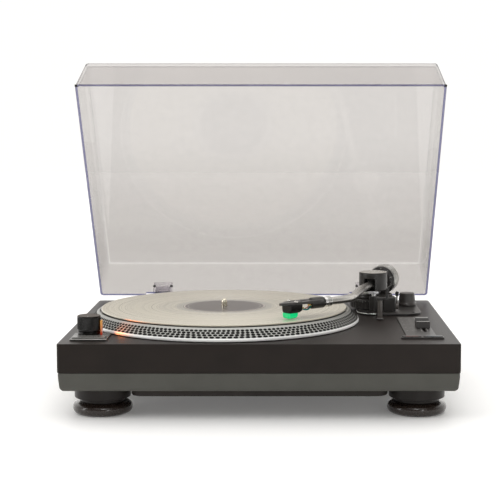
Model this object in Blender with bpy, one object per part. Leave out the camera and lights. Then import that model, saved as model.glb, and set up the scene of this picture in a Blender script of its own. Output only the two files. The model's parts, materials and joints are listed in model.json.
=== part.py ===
"""Direct-drive record player: plinth on four screw feet, platter with a record, S-shaped tonearm on a
height-adjustable base, controls, and a hinged clear dust cover shown propped open.

Lengths are in millimetres until the helpers turn them into metres. Three measures place a piece:
across (X, from the middle of the plinth), behind (from the plinth's front face) and above (from the deck).
The origin is on the supporting surface, under the middle of the whole footprint.
"""
from math import cos, pi, radians, sin

import bmesh
import bpy
from mathutils import Matrix, Vector

MM = 0.001
GAP = 0.3                    # clearance kept between pieces that touch

# Plinth
WIDTH, DEPTH = 450.0, 350.0
DECK_Z = 86.5                # deck surface above the floor
COVER_HIGH = 32.8
CASE_HIGH = 21.5
BASE_DROP = 10.2             # the base plate hangs this far below the case
BASE_WIDE, BASE_DEEP = 292.0, 306.0
WALL = 3.0
CASE_INSET = 0.8
CASE_ROUND = 5.5
COVER_LOW = -COVER_HIGH      # heights above the deck
CASE_LOW = COVER_LOW - CASE_HIGH
FLOOR = -DECK_Z
CASE_FLOOR_TOP = CASE_LOW + WALL

# Feet
FOOT_X, FOOT_FRONT, FOOT_REAR = 180.0, 46.0, 305.0
FOOT_R, COLLAR_R, NECK_R, STEM_R = 34.0, 32.0, 25.0, 5.0

# Platter, record and motor
PLATTER_X, PLATTER_BEHIND = -46.0, 174.0
PLATTER_R, PLATTER_RIM_R, MAT_R = 166.0, 154.0, 149.0
PLATTER_LOW, PLATTER_TOP, RIM_TOP = 2.4, 13.4, 15.0
MAT_LOW, MAT_TOP = 13.7, 15.4
RECORD_R, RECORD_LOW, RECORD_TOP = 150.8, 15.7, 17.7
LABEL_R, LABEL_LOW, LABEL_TOP = 50.0, 17.3, 17.75
SPINDLE_R, SPINDLE_TOP, SPINDLE_LOW = 3.55, 26.9, -27.0
BORE_R = SPINDLE_R + GAP
WELL_R = 50.0
BEARING_R, BEARING_LOW = 9.0, -32.0
WELL_FLOOR = -19.0

# Controls at the left front: strobe tower with the power knob, and the start/stop bar
TOWER_X, TOWER_BEHIND = -195.8, 53.5
KNOB_R, KNOB_LOW, KNOB_TOP = 13.4, 7.0, 24.4
STROBE_BASE_R = 12.8
BEZEL_HIGH = 2.3
BEZEL_X, BEZEL_FRONT, BEZEL_BACK = (-213.5, -171.5), 20.0, 64.5
START_KEY_FRONT, START_KEY_DEEP, START_KEY_TOP = 22.0, 16.0, 3.3
START_TRAVEL = 1.2

# Pitch control and speed keys at the right front
PITCH_X, PITCH_FRONT, PITCH_BACK, PITCH_HIGH = (168.0, 202.5), 45.0, 190.0, 1.4
SLOT_X, SLOT_FRONT, SLOT_BACK, SLOT_WIDE = 192.6, 76.0, 186.0, 3.2
SLIDER_BEHIND, SLIDER_WIDE, SLIDER_LONG, SLIDER_TOP = 112.0, 15.8, 25.0, 11.5
KEYS_X, KEYS_FRONT, KEYS_DEEP = (161.0, 210.0), 33.5, 9.5
KEY_TOP, KEY_TRAVEL = 2.6, 1.0

# Tonearm: the arm's own frame has its rear axis along Y and the headshell towards -Y
PIVOT_X, PIVOT_BEHIND, ARM_ABOVE = 144.0, 270.0, 33.2
ARM_YAW = -19.0              # degrees, playing near the start of the record
EFFECTIVE_LENGTH = 230.0
STYLUS_BEARING = 9.34        # degrees from the rear axis to the line from pivot to stylus
OFFSET_ANGLE = 22.0
HEADSHELL_LONG = 50.0        # connector to stylus
SCREW_Y = -46.0              # cartridge screws, in the headshell's frame
TUBE_R = 4.8
S_BEND, S_RADIUS_REAR, S_RADIUS_FRONT, S_FRONT_STRAIGHT = 8.0, 130.0, 62.0, 24.0
DRUM_R, DRUM_LOW, DRUM_TOP = 18.4, 25.0, 49.0
BLOCK_HALF = 6.2
WINDOW_HALF = 7.2
AXLE_R = 1.5
STUB_R, STUB_END = 3.0, 67.5
WEIGHT_R, WEIGHT_FRONT, WEIGHT_BACK = 19.0, 43.0, 63.0
DIAL_R, DIAL_FRONT, DIAL_BACK = 17.7, 36.5, 42.6
RING_R, RING_BORE, RING_LOW, RING_TOP = 30.0, 19.5, 3.3, 15.5
PLINTH_BORE_R = 21.0
TOWER_SHANK_R, TOWER_TOP, TOWER_TOP_R = 19.0, 20.5, 25.0
ARM_BASE_X, ARM_BASE_BEHIND, ARM_BASE_HIGH = (121.0, 202.5), (207.0, 313.0), 2.6
CUE_X, CUE_BEHIND, CUE_R, CUE_TOP = 142.5, 233.0, 6.0, 22.0
LIFT_R_IN, LIFT_R_OUT, LIFT_LOW, LIFT_TOP = 30.0, 37.0, 24.4, 27.4
LEVER_X, LEVER_BEHIND, LEVER_ABOVE = 172.2, 233.0, 9.0
SKATE_X, SKATE_BEHIND, SKATE_R, SKATE_TOP = 189.5, 283.0, 12.0, 19.5
REST_X, REST_BEHIND, REST_R = 146.6, 177.5, 2.9
REST_TOP = ARM_ABOVE - TUBE_R - 0.8
CLIP_X, CLIP_ABOVE, CLIP_OPEN = 154.6, 37.8, 125.0

# Rear connections, on a panel behind a window in the cover
PANEL_X, PANEL_HEIGHTS = (-112.0, 20.0), (-28.0, -6.0)
PANEL_BEHIND = DEPTH - WALL - GAP
JACKS_X, GROUND_X, INLET_X, PORT_ABOVE = (-92.0, -74.0), -52.0, -8.0, -17.0

# Dust cover, built closed about its hinge and then opened
LID_OPEN = 55.0              # degrees
LID_WIDE, LID_FRONT, LID_REAR, LID_HIGH = 447.0, 2.5, 347.5, 57.0
LID_RIM = 0.5                # rim above the deck when closed
LID_TAPER_SIDE, LID_TAPER_FRONT, LID_TAPER_REAR = 5.7, 6.0, 9.0
HINGE_X, HINGE_BEHIND, HINGE_ABOVE = 139.0, 354.5, 0.6
BARREL_R, BARREL_HALF, PIN_R = 4.0, 10.0, 1.7
SOCKET_HALF, SOCKET_LOW, SOCKET_HIGH, SOCKET_REAR = 13.0, 6.6, 24.0, 354.0
TONGUE_FRONT, TONGUE_THICK, TONGUE_TOP = 349.2, 3.0, 20.0


def lid_reach():
    """How far behind the front face the open cover's rear top edge lies."""
    arm = LID_REAR - LID_TAPER_REAR - HINGE_BEHIND
    rise = LID_RIM + LID_HIGH - HINGE_ABOVE
    turn = radians(LID_OPEN)
    return HINGE_BEHIND + arm * cos(turn) + rise * sin(turn)


FRONT_Y = -lid_reach() / 2


def at(across, behind, above):
    """A place in metres."""
    return Vector((across * MM, (FRONT_Y + behind) * MM, (DECK_Z + above) * MM))


# ---------------------------------------------------------------- helpers


def principled(name, colour, roughness, metallic=0.0, alpha=1.0):
    made = bpy.data.materials.new(name)
    made.use_nodes = True
    shader = made.node_tree.nodes["Principled BSDF"]
    shader.inputs["Base Color"].default_value = (*colour, 1.0)
    shader.inputs["Roughness"].default_value = roughness
    shader.inputs["Metallic"].default_value = metallic
    shader.inputs["Alpha"].default_value = alpha
    return made


BLACK_PAINT = dict(colour=(0.045, 0.040, 0.038), roughness=0.45)
BLACK_PLASTIC = dict(colour=(0.030, 0.028, 0.027), roughness=0.35)
CREAM_VINYL = dict(colour=(0.60, 0.57, 0.48), roughness=0.3)
GREY_PLASTIC = dict(colour=(0.085, 0.083, 0.075), roughness=0.5)
RUBBER = dict(colour=(0.025, 0.025, 0.025), roughness=0.8)
ALUMINIUM = dict(colour=(0.62, 0.62, 0.60), roughness=0.3, metallic=1.0)
STEEL = dict(colour=(0.55, 0.55, 0.56), roughness=0.25, metallic=1.0)
COPPER = dict(colour=(0.55, 0.28, 0.14), roughness=0.4, metallic=1.0)
BOARD_GREEN = dict(colour=(0.03, 0.16, 0.07), roughness=0.55)
CLEAR = dict(colour=(0.80, 0.80, 0.82), roughness=0.05, alpha=0.3)


def add_object(name, bm, place, look, parent=None, smooth=35.0):
    """Turns a bmesh in millimetres into a named object at a place in metres."""
    bmesh.ops.remove_doubles(bm, verts=bm.verts[:], dist=1e-4)
    bmesh.ops.recalc_face_normals(bm, faces=bm.faces[:])
    bmesh.ops.scale(bm, vec=(MM, MM, MM), verts=bm.verts[:])
    mesh = bpy.data.meshes.new(name)
    bm.to_mesh(mesh)
    bm.free()
    if smooth:
        mesh.shade_smooth()
        mesh.set_sharp_from_angle(angle=radians(smooth))
    made = bpy.data.objects.new(name, mesh)
    bpy.context.scene.collection.objects.link(made)
    made.parent = parent
    made.location = place
    if look:
        mesh.materials.append(principled(name, **look))
    return made


def rounded_rect(width, depth, radius, steps=5, centre=(0.0, 0.0)):
    """Corner arcs of a rectangle, anticlockwise."""
    points = []
    for corner, (sx, sy) in enumerate(((1, 1), (-1, 1), (-1, -1), (1, -1))):
        cx = centre[0] + sx * (width / 2 - radius)
        cy = centre[1] + sy * (depth / 2 - radius)
        for step in range(steps + 1):
            turn = (corner + step / steps) * pi / 2
            points.append((cx + radius * cos(turn), cy + radius * sin(turn)))
    return points


def loft(name, sections, place, look, **how):
    """A closed solid through outlines of equal count, given as (outline, height), capped at both ends."""
    bm = bmesh.new()
    rings = [[bm.verts.new((x, y, height)) for x, y in outline] for outline, height in sections]
    for low, high in zip(rings, rings[1:]):
        for i, vert in enumerate(low):
            following = (i + 1) % len(low)
            bm.faces.new((vert, low[following], high[following], high[i]))
    bm.faces.new(rings[0])
    bm.faces.new(rings[-1])
    return add_object(name, bm, place, look, **how)


def plate(name, outline, low, high, place, look, edge=0.0, **how):
    """An outline extruded upwards, with an optional small chamfer round its top edge."""
    sections = [(outline, low), (outline, high - edge)]
    if edge:
        middle = Vector((sum(x for x, _ in outline), sum(y for _, y in outline))) / len(outline)
        sections.append(([tuple(pull_in(Vector(p), middle, edge)) for p in outline], high))
    return loft(name, sections, place, look, **how)


def pull_in(point, middle, amount):
    """Moves a point towards the middle by the amount along each axis."""
    step = [amount if point[i] < middle[i] else -amount for i in range(2)]
    return point + Vector(step)


def turned(name, profile, place, look, steps=32, axis="Z", **how):
    """A solid of revolution from a (radius, height) profile; an end that is off the axis closes as a ring."""
    bm = bmesh.new()
    verts = [bm.verts.new((radius, 0.0, height)) for radius, height in profile]
    pairs = list(zip(verts, verts[1:]))
    if profile[0][0] > 0 or profile[-1][0] > 0:
        pairs.append((verts[-1], verts[0]))
    edges = [bm.edges.new(pair) for pair in pairs]
    bmesh.ops.spin(bm, geom=verts + edges, cent=(0, 0, 0), axis=(0, 0, 1), angle=2 * pi, steps=steps,
                   use_merge=True)
    if axis == "Y":
        bmesh.ops.rotate(bm, matrix=Matrix.Rotation(-pi / 2, 3, "X"), verts=bm.verts[:])
    elif axis == "X":
        bmesh.ops.rotate(bm, matrix=Matrix.Rotation(pi / 2, 3, "Y"), verts=bm.verts[:])
    return add_object(name, bm, place, look, **how)


def block(name, low, high, place, look, bevel=0.0, **how):
    """A box between two corners in millimetres, with optional bevelled edges."""
    bm = bmesh.new()
    bmesh.ops.create_cube(bm, size=1.0)
    for vert in bm.verts:
        for i in range(3):
            vert.co[i] = low[i] if vert.co[i] < 0 else high[i]
    if bevel:
        bmesh.ops.bevel(bm, geom=bm.edges[:], offset=bevel, segments=1, affect="EDGES")
    return add_object(name, bm, place, look, **how)


def combine(target, operation, *tools):
    """Cuts the tools from the target or joins them to it; the tools themselves are left out of the model."""
    for tool in tools:
        tool.hide_render = True
        tool.display_type = "WIRE"
        modifier = target.modifiers.new(tool.name, "BOOLEAN")
        modifier.operation = operation
        modifier.solver = "EXACT"
        modifier.object = tool
    return target


def hole(name, radius, low, high, place, steps=20, **how):
    return turned(name, [(0, low), (radius, low), (radius, high), (0, high)], place, None, steps=steps,
                  **how)


def pivot(name, place, parent=None, turn=(0, 0, 0)):
    """An empty on a joint's axis."""
    made = bpy.data.objects.new(name, None)
    bpy.context.scene.collection.objects.link(made)
    made.parent = parent
    made.location = place
    made.rotation_euler = [radians(angle) for angle in turn]
    return made


# ---------------------------------------------------------------- plinth and feet


def plinth_outline(inset, radius=4.0):
    return rounded_rect(WIDTH - 2 * inset, DEPTH - 2 * inset, max(radius - inset / 2, 1.0))


def make_top_cover():
    place = at(0, DEPTH / 2, 0)
    sections = [
        (plinth_outline(1.0), 0.0),
        (plinth_outline(0.3), -0.3),
        (plinth_outline(0.0), -1.0),
        (plinth_outline(0.0), COVER_LOW),
        (plinth_outline(WALL), COVER_LOW),
        (plinth_outline(WALL), -WALL),
    ]
    cover = loft("top_cover", sections, place, BLACK_PAINT)
    deck_cutters = [
        hole("cut_well", WELL_R, -9, 5, at(PLATTER_X, PLATTER_BEHIND, 0), steps=40),
        hole("cut_arm", PLINTH_BORE_R, -9, 5, at(PIVOT_X, PIVOT_BEHIND, 0)),
        hole("cut_knob", 4.0, -9, 5, at(TOWER_X, TOWER_BEHIND, 0), steps=16),
        hole("cut_start", 4.0, -9, 5, at(*start_key_middle(), 0), steps=16),
        hole("cut_skate", 3.4, -9, 5, at(SKATE_X, SKATE_BEHIND, 0), steps=16),
        block("cut_slot", (-SLOT_WIDE / 2, SLOT_FRONT, -9), (SLOT_WIDE / 2, SLOT_BACK, 5),
              at(SLOT_X, 0, 0), None),
    ]
    for index, across in enumerate(key_centres()):
        middle = KEYS_FRONT + KEYS_DEEP / 2
        deck_cutters.append(hole(f"cut_key_{index}", 2.4, -9, 5, at(across, middle, 0), steps=16))
    low, high = PANEL_HEIGHTS
    window = block("cut_panel", (PANEL_X[0] + 3, DEPTH - 8, low + 2), (PANEL_X[1] - 3, DEPTH + 5, high - 2),
                   at(0, 0, 0), None)
    return combine(cover, "DIFFERENCE", *deck_cutters, window)


def make_lower_case():
    """A tray with rounded lower edges, and a lip that locates inside the cover."""
    sections = []
    for step in range(6):
        turn = radians(90 * step / 5)
        inset = CASE_INSET + 1.2 + CASE_ROUND * (1 - sin(turn))
        sections.append((plinth_outline(inset), CASE_LOW + CASE_ROUND * (1 - cos(turn))))
    top = COVER_LOW - GAP
    sections += [
        (plinth_outline(CASE_INSET), top),
        (plinth_outline(WALL + 0.4), top),
        (plinth_outline(WALL + 0.4), COVER_LOW + 4.0),
        (plinth_outline(WALL + 2.4), COVER_LOW + 4.0),
        (plinth_outline(WALL + 3.6), CASE_FLOOR_TOP),
    ]
    case = loft("lower_case", sections, at(0, DEPTH / 2, 0), GREY_PLASTIC)
    cutters = [hole(f"cut_{name}", STEM_R + 0.4, CASE_LOW - 4, CASE_LOW + 8, at(x, behind, 0), steps=20)
               for name, x, behind in foot_places()]
    return combine(case, "DIFFERENCE", *cutters)


def make_base_plate():
    """A tray that closes the middle of the underside."""
    sections = [
        (rounded_rect(BASE_WIDE - 6, BASE_DEEP - 6, 10), CASE_LOW - BASE_DROP),
        (rounded_rect(BASE_WIDE, BASE_DEEP, 12), CASE_LOW - BASE_DROP + 3),
        (rounded_rect(BASE_WIDE, BASE_DEEP, 12), CASE_LOW - GAP),
    ]
    return loft("base_plate", sections, at(0, DEPTH / 2 + 2, 0), BLACK_PLASTIC)


def foot_places():
    return [(f"foot_{end}_{side}", sign * FOOT_X, behind)
            for end, behind in (("front", FOOT_FRONT), ("rear", FOOT_REAR))
            for side, sign in (("left", -1), ("right", 1))]


def make_feet():
    top = CASE_LOW - GAP - FLOOR
    profile = [
        (0, 0), (27, 0), (31.5, 1.6), (33.7, 5.0), (FOOT_R, 8.0), (33.0, 11.4), (NECK_R, 14.2),
        (NECK_R, 18.6),
        (COLLAR_R - 0.8, 18.8), (COLLAR_R, 20.2), (COLLAR_R, top), (STEM_R, top), (STEM_R, top + 11),
        (0, top + 11),
    ]
    for name, across, behind in foot_places():
        turned(name, profile, at(across, behind, FLOOR), BLACK_PLASTIC, steps=24)


# ---------------------------------------------------------------- platter and motor


def make_platter():
    centre = at(PLATTER_X, PLATTER_BEHIND, 0)
    profile = [
        (BORE_R, PLATTER_TOP), (MAT_R + 2.4, PLATTER_TOP), (MAT_R + 2.8, RIM_TOP), (PLATTER_RIM_R, RIM_TOP),
        (PLATTER_R - 1.4, 5.4), (PLATTER_R, 4.8), (PLATTER_R, PLATTER_LOW), (PLATTER_R - 6, PLATTER_LOW),
        (PLATTER_R - 10, 9.2), (24, 9.2), (12, 8.0), (12, 4.0), (BORE_R, 4.0),
    ]
    turned("platter", profile, centre, ALUMINIUM, steps=64, smooth=20)
    mat = [(BORE_R, MAT_LOW), (MAT_R, MAT_LOW), (MAT_R, MAT_TOP), (BORE_R, MAT_TOP)]
    turned("slipmat", mat, centre, RUBBER, steps=40)
    step = LABEL_R + GAP
    record = [
        (BORE_R, RECORD_LOW), (RECORD_R - 0.7, RECORD_LOW), (RECORD_R, RECORD_LOW + 0.7),
        (RECORD_R, RECORD_TOP - 0.7), (RECORD_R - 0.7, RECORD_TOP), (step, RECORD_TOP),
        (step, LABEL_LOW - GAP),
        (BORE_R, LABEL_LOW - GAP),
    ]
    turned("record", record, centre, CREAM_VINYL, steps=64)
    label = [(BORE_R, LABEL_LOW), (LABEL_R, LABEL_LOW), (LABEL_R, LABEL_TOP), (BORE_R, LABEL_TOP)]
    turned("record_label", label, centre, dict(colour=(0.2, 0.18, 0.18), roughness=0.6), steps=28)
    spindle = [
        (0, SPINDLE_LOW), (2.2, SPINDLE_LOW + 0.8), (SPINDLE_R, SPINDLE_LOW + 2),
        (SPINDLE_R, SPINDLE_TOP - 4),
        (3.0, SPINDLE_TOP - 1.8), (1.8, SPINDLE_TOP - 0.5), (0, SPINDLE_TOP),
    ]
    turned("spindle", spindle, centre, STEEL, steps=16)
    magnet = [(33, -12), (40, -12), (40, 8.9), (33, 8.9)]
    turned("rotor_magnet", magnet, centre, dict(colour=(0.12, 0.12, 0.12), roughness=0.5, metallic=0.6),
           steps=32)


def make_motor():
    """Fixed half of the direct drive: a cast dish under the deck with the bearing and the ring of coils."""
    centre = at(PLATTER_X, PLATTER_BEHIND, 0)
    under_deck = -WALL - GAP
    dish = [
        (BEARING_R + 0.4, WELL_FLOOR - 2.5), (53, WELL_FLOOR - 2.5), (53, under_deck - 2.5),
        (62, under_deck - 2.5),
        (62, under_deck), (50.5, under_deck), (50.5, WELL_FLOOR), (BEARING_R + 0.4, WELL_FLOOR),
    ]
    turned("motor_frame", dish, centre, ALUMINIUM, steps=24)
    bore = SPINDLE_R + GAP
    bearing = [
        (0, BEARING_LOW), (BEARING_R, BEARING_LOW), (BEARING_R, WELL_FLOOR + GAP), (14, WELL_FLOOR + GAP),
        (14, WELL_FLOOR + 2.3), (BEARING_R, WELL_FLOOR + 2.3), (BEARING_R, 2.2), (bore, 2.2),
        (bore, SPINDLE_LOW - 1.5), (0, SPINDLE_LOW - 1.5),
    ]
    turned("spindle_bearing", bearing, centre, dict(colour=(0.6, 0.45, 0.2), roughness=0.35, metallic=1.0),
           steps=20)
    poles = 12
    outline = []
    for pole in range(poles):
        head = ((-4.5, 19.0), (-4.5, 23.0), (-10.5, 24.5), (-10.5, 29.5))
        for turn, radius in head + tuple((-turn, radius) for turn, radius in reversed(head)):
            angle = radians(360 * pole / poles + turn)
            outline.append((radius * cos(angle), radius * sin(angle)))
    stator = plate("motor_stator", outline, WELL_FLOOR + GAP, -4.0, centre, COPPER)
    combine(stator, "DIFFERENCE", hole("cut_stator", 14.6, WELL_FLOOR, 0, centre))


# ---------------------------------------------------------------- electronics


def port_profile(radius, low, high, bore, deep):
    """A round port along Y with a blind hole in its outer end."""
    return [(0, low), (radius, low), (radius, high), (bore, high), (bore, high - deep), (0, high - deep)]


def make_rear_ports():
    low, high = PANEL_HEIGHTS
    panel = block("rear_panel", (PANEL_X[0], PANEL_BEHIND - 2, low), (PANEL_X[1], PANEL_BEHIND, high),
                  at(0, 0, 0), BLACK_PLASTIC)
    cutters = []
    for index, (across, radius) in enumerate(((JACKS_X[0], 5.2), (JACKS_X[1], 5.2), (GROUND_X, 2.6))):
        cutters.append(hole(f"cut_port_{index}", radius, -6, 6, at(across, PANEL_BEHIND, PORT_ABOVE),
                            steps=16,
                            axis="Y"))
    cutters.append(block("cut_inlet", (-12.4, -6, -7.4), (12.4, 6, 7.4),
                         at(INLET_X, PANEL_BEHIND, PORT_ABOVE), None))
    combine(panel, "DIFFERENCE", *cutters)
    for side, across, colour in (("left", JACKS_X[0], (0.7, 0.7, 0.68)),
                                 ("right", JACKS_X[1], (0.5, 0.03, 0.03))):
        turned(f"output_jack_{side}", port_profile(4.8, -12, 12, 1.8, 9),
               at(across, PANEL_BEHIND, PORT_ABOVE),
               dict(colour=colour, roughness=0.35), steps=16, axis="Y")
    post = [(0, -8), (2.2, -8), (2.2, 4), (5.0, 4.3), (5.0, 10.5), (4.2, 11.3), (0, 11.3)]
    turned("ground_post", post, at(GROUND_X, PANEL_BEHIND, PORT_ABOVE), STEEL, steps=16, axis="Y")
    inlet = block("mains_inlet", (-12, -14, -7), (12, 4, 7), at(INLET_X, PANEL_BEHIND, PORT_ABOVE),
                  BLACK_PLASTIC)
    combine(inlet, "DIFFERENCE", block("cut_socket", (-9, -8, -4.2), (9, 8, 4.2),
                                       at(INLET_X, PANEL_BEHIND, PORT_ABOVE), None))


def make_inside():
    """The control board on its spacers and the mains transformer, both on the floor of the case."""
    floor = CASE_FLOOR_TOP + GAP
    corner = at(0, 0, floor)
    board = block("main_board", (-168, 195, 6), (-88, 300, 7.6), corner, BOARD_GREEN)
    parts = [block(f"spacer_{x}_{y}", (x - 3, y - 3, 0), (x + 3, y + 3, 6.5), corner, None)
             for x in (-162, -94) for y in (201, 294)]
    parts += [block(f"chip_{x}_{y}", (x - 7, y - 5, 7), (x + 7, y + 5, 11), corner, None)
              for x in (-152, -128, -104) for y in (218, 248)]
    parts.append(block("heat_sink", (-150, 270, 7), (-104, 280, 24), corner, None))
    combine(board, "UNION", *parts)
    core = block("power_transformer", (108, 60, 0), (168, 104, 24), corner, STEEL)
    combine(core, "UNION", block("transformer_coil", (117, 52, 3.5), (159, 112, 20.5), corner, None,
                                 bevel=3))


# ---------------------------------------------------------------- controls


def start_key_middle():
    return sum(BEZEL_X) / 2, START_KEY_FRONT + START_KEY_DEEP / 2


def key_centres():
    """The two speed keys share their bezel equally."""
    quarter = (KEYS_X[1] - KEYS_X[0]) / 4
    return KEYS_X[0] + quarter, KEYS_X[1] - quarter


def make_push_key(name, wide, deep, low, top, stem, place):
    """A bevelled key with a round stem that runs down through the deck."""
    key = block(name, (-wide / 2, -deep / 2, low), (wide / 2, deep / 2, top), place, GREY_PLASTIC,
                bevel=0.4)
    return combine(key, "UNION", hole(f"{name}_stem", stem, -7, low + 0.8, place, steps=16))


def make_left_controls():
    across, behind = sum(BEZEL_X) / 2, (BEZEL_FRONT + BEZEL_BACK) / 2
    wide, deep = BEZEL_X[1] - BEZEL_X[0], BEZEL_BACK - BEZEL_FRONT
    outline = rounded_rect(wide, deep, 2.0, steps=3)
    bezel = plate("start_stop_bezel", outline, GAP, BEZEL_HIGH, at(across, behind, 0), GREY_PLASTIC,
                  edge=0.5)
    key_x, key_y = start_key_middle()
    wide -= 5
    recess = (wide / 2 + 0.4, START_KEY_DEEP / 2 + 0.4)
    combine(bezel, "DIFFERENCE",
            block("cut_start_recess", (-recess[0], -recess[1], 1.1), (*recess, 9), at(key_x, key_y, 0),
                  None),
            hole("cut_start_stem", 3.6, -4, 5, at(key_x, key_y, 0), steps=16),
            hole("cut_knob_shaft", 4.0, -4, 5, at(TOWER_X, TOWER_BEHIND, 0), steps=16))
    make_push_key("start_stop_button", wide, START_KEY_DEEP, 1.1 + START_TRAVEL + GAP / 3,
                  START_KEY_TOP + 0.6, 3.0,
                  at(key_x, key_y, 0))
    tower = [(3.4, BEZEL_HIGH + GAP), (STROBE_BASE_R, BEZEL_HIGH + GAP), (STROBE_BASE_R, KNOB_LOW - GAP),
             (3.4, KNOB_LOW - GAP)]
    place = at(TOWER_X, TOWER_BEHIND, 0)
    turned("strobe_tower", tower, place, BLACK_PLASTIC, steps=24)
    block("strobe_lens", (KNOB_R + GAP, -7, BEZEL_HIGH + GAP), (KNOB_R + 2.0, 3, 19.0), place,
          dict(colour=(0.8, 0.16, 0.02), roughness=0.2), bevel=0.4)
    knob = [(0, -8), (3.0, -8), (3.0, KNOB_LOW), (KNOB_R - 0.4, KNOB_LOW), (KNOB_R, KNOB_LOW + 0.4),
            (KNOB_R, KNOB_TOP - 1.2), (KNOB_R - 0.5, KNOB_TOP - 0.3), (KNOB_R - 1.4, KNOB_TOP),
            (0, KNOB_TOP)]
    turned("power_knob", knob, place, BLACK_PLASTIC, steps=28)


def make_right_controls():
    across = sum(PITCH_X) / 2
    behind = (PITCH_FRONT + PITCH_BACK) / 2
    outline = rounded_rect(PITCH_X[1] - PITCH_X[0], PITCH_BACK - PITCH_FRONT, 2.0, steps=3)
    pitch = plate("pitch_plate", outline, GAP, PITCH_HIGH, at(across, behind, 0), BLACK_PAINT, edge=0.3)
    combine(pitch, "DIFFERENCE",
            block("cut_pitch", (-SLOT_WIDE / 2, SLOT_FRONT, -4), (SLOT_WIDE / 2, SLOT_BACK, 5),
                                       at(SLOT_X, 0, 0), None))
    place = at(SLOT_X, SLIDER_BEHIND, 0)
    half = SLIDER_LONG / 2
    side = [
        (-half, PITCH_HIGH + 0.5), (half, PITCH_HIGH + 0.5), (half - 1.7, SLIDER_TOP),
        (half - 3.8, SLIDER_TOP), (3.0, 7.9), (-3.0, 7.9), (-half + 4.3, 9.4), (-half + 2.1, 9.2),
    ]
    bm = bmesh.new()
    near = bm.faces.new([bm.verts.new((-SLIDER_WIDE / 2, y, z)) for y, z in side])
    grown = bmesh.ops.extrude_face_region(bm, geom=[near])["geom"]
    moved = [vert for vert in grown if isinstance(vert, bmesh.types.BMVert)]
    bmesh.ops.translate(bm, vec=(SLIDER_WIDE, 0, 0), verts=moved)
    cap = add_object("pitch_slider", bm, place, BLACK_PLASTIC)
    combine(cap, "UNION", block("slider_stem", (-1.1, -3, -6), (1.1, 3, 3), place, None))
    body = block("pitch_potentiometer", (-7, SLOT_FRONT - 6, -14), (7, SLOT_BACK + 6, -WALL - GAP),
                 at(SLOT_X, 0, 0),
                 STEEL)
    combine(body, "DIFFERENCE", block("cut_track", (-1.8, SLOT_FRONT, -10), (1.8, SLOT_BACK, 4),
                                      at(SLOT_X, 0, 0),
                                      None))
    make_speed_keys()


def make_speed_keys():
    across = sum(KEYS_X) / 2
    behind = KEYS_FRONT + KEYS_DEEP / 2
    outline = rounded_rect(KEYS_X[1] - KEYS_X[0], KEYS_DEEP, 1.5, steps=3)
    bezel = plate("speed_key_bezel", outline, GAP, 1.8, at(across, behind, 0), BLACK_PLASTIC, edge=0.3)
    half = (KEYS_X[1] - KEYS_X[0]) / 4 - 1.6
    deep = KEYS_DEEP - 2.6
    cutters = []
    for name, middle in zip(("speed_key_33", "speed_key_45"), key_centres()):
        place = at(middle, behind, 0)
        cutters.append(block(f"cut_{name}", (-half - 0.4, -deep / 2 - 0.4, 0.9),
                             (half + 0.4, deep / 2 + 0.4, 9),
                             place, None))
        cutters.append(hole(f"cut_{name}_stem", 2.2, -4, 5, place, steps=16))
        make_push_key(name, 2 * half, deep, 0.9 + KEY_TRAVEL + 0.1, KEY_TOP + 0.4, 1.6, place)
    combine(bezel, "DIFFERENCE", *cutters)


# ---------------------------------------------------------------- tonearm base


def make_arm_base():
    """The fixed base plate, the ring that raises the arm, and the tower that it raises."""
    place = at(PIVOT_X, PIVOT_BEHIND, 0)
    wide, deep = ARM_BASE_X[1] - ARM_BASE_X[0], ARM_BASE_BEHIND[1] - ARM_BASE_BEHIND[0]
    centre = (sum(ARM_BASE_X) / 2 - PIVOT_X, sum(ARM_BASE_BEHIND) / 2 - PIVOT_BEHIND)
    outline = rounded_rect(wide, deep, 22.0, steps=6, centre=centre)
    base = plate("arm_base_plate", outline, GAP, ARM_BASE_HIGH + GAP, place, BLACK_PAINT, edge=0.6)
    combine(base, "DIFFERENCE", hole("cut_base", PLINTH_BORE_R, -4, 9, place, steps=24),
            hole("cut_base_skate", 3.4, -4, 9, at(SKATE_X, SKATE_BEHIND, 0), steps=16))
    ribs = 18
    outline = []
    for rib in range(ribs):
        for part, radius in ((0.0, RING_R), (0.5, RING_R), (0.62, RING_R - 0.8), (0.88, RING_R - 0.8)):
            turn = 2 * pi * (rib + part) / ribs
            outline.append((radius * cos(turn), radius * sin(turn)))
    ring = plate("height_ring", outline, RING_LOW, RING_TOP, place, BLACK_PLASTIC)
    combine(ring, "DIFFERENCE", hole("cut_ring", RING_BORE, 0, 20, place, steps=24))
    make_arm_tower(place)
    knob = [(0, -7), (3.0, -7), (3.0, ARM_BASE_HIGH + 0.7), (SKATE_R, ARM_BASE_HIGH + 0.7),
            (SKATE_R - 0.3, 6.0),
            (SKATE_R - 2.2, SKATE_TOP - 1), (SKATE_R - 3.2, SKATE_TOP), (0, SKATE_TOP)]
    turned("anti_skate_knob", knob, at(SKATE_X, SKATE_BEHIND, 0), BLACK_PLASTIC, steps=24)


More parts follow.
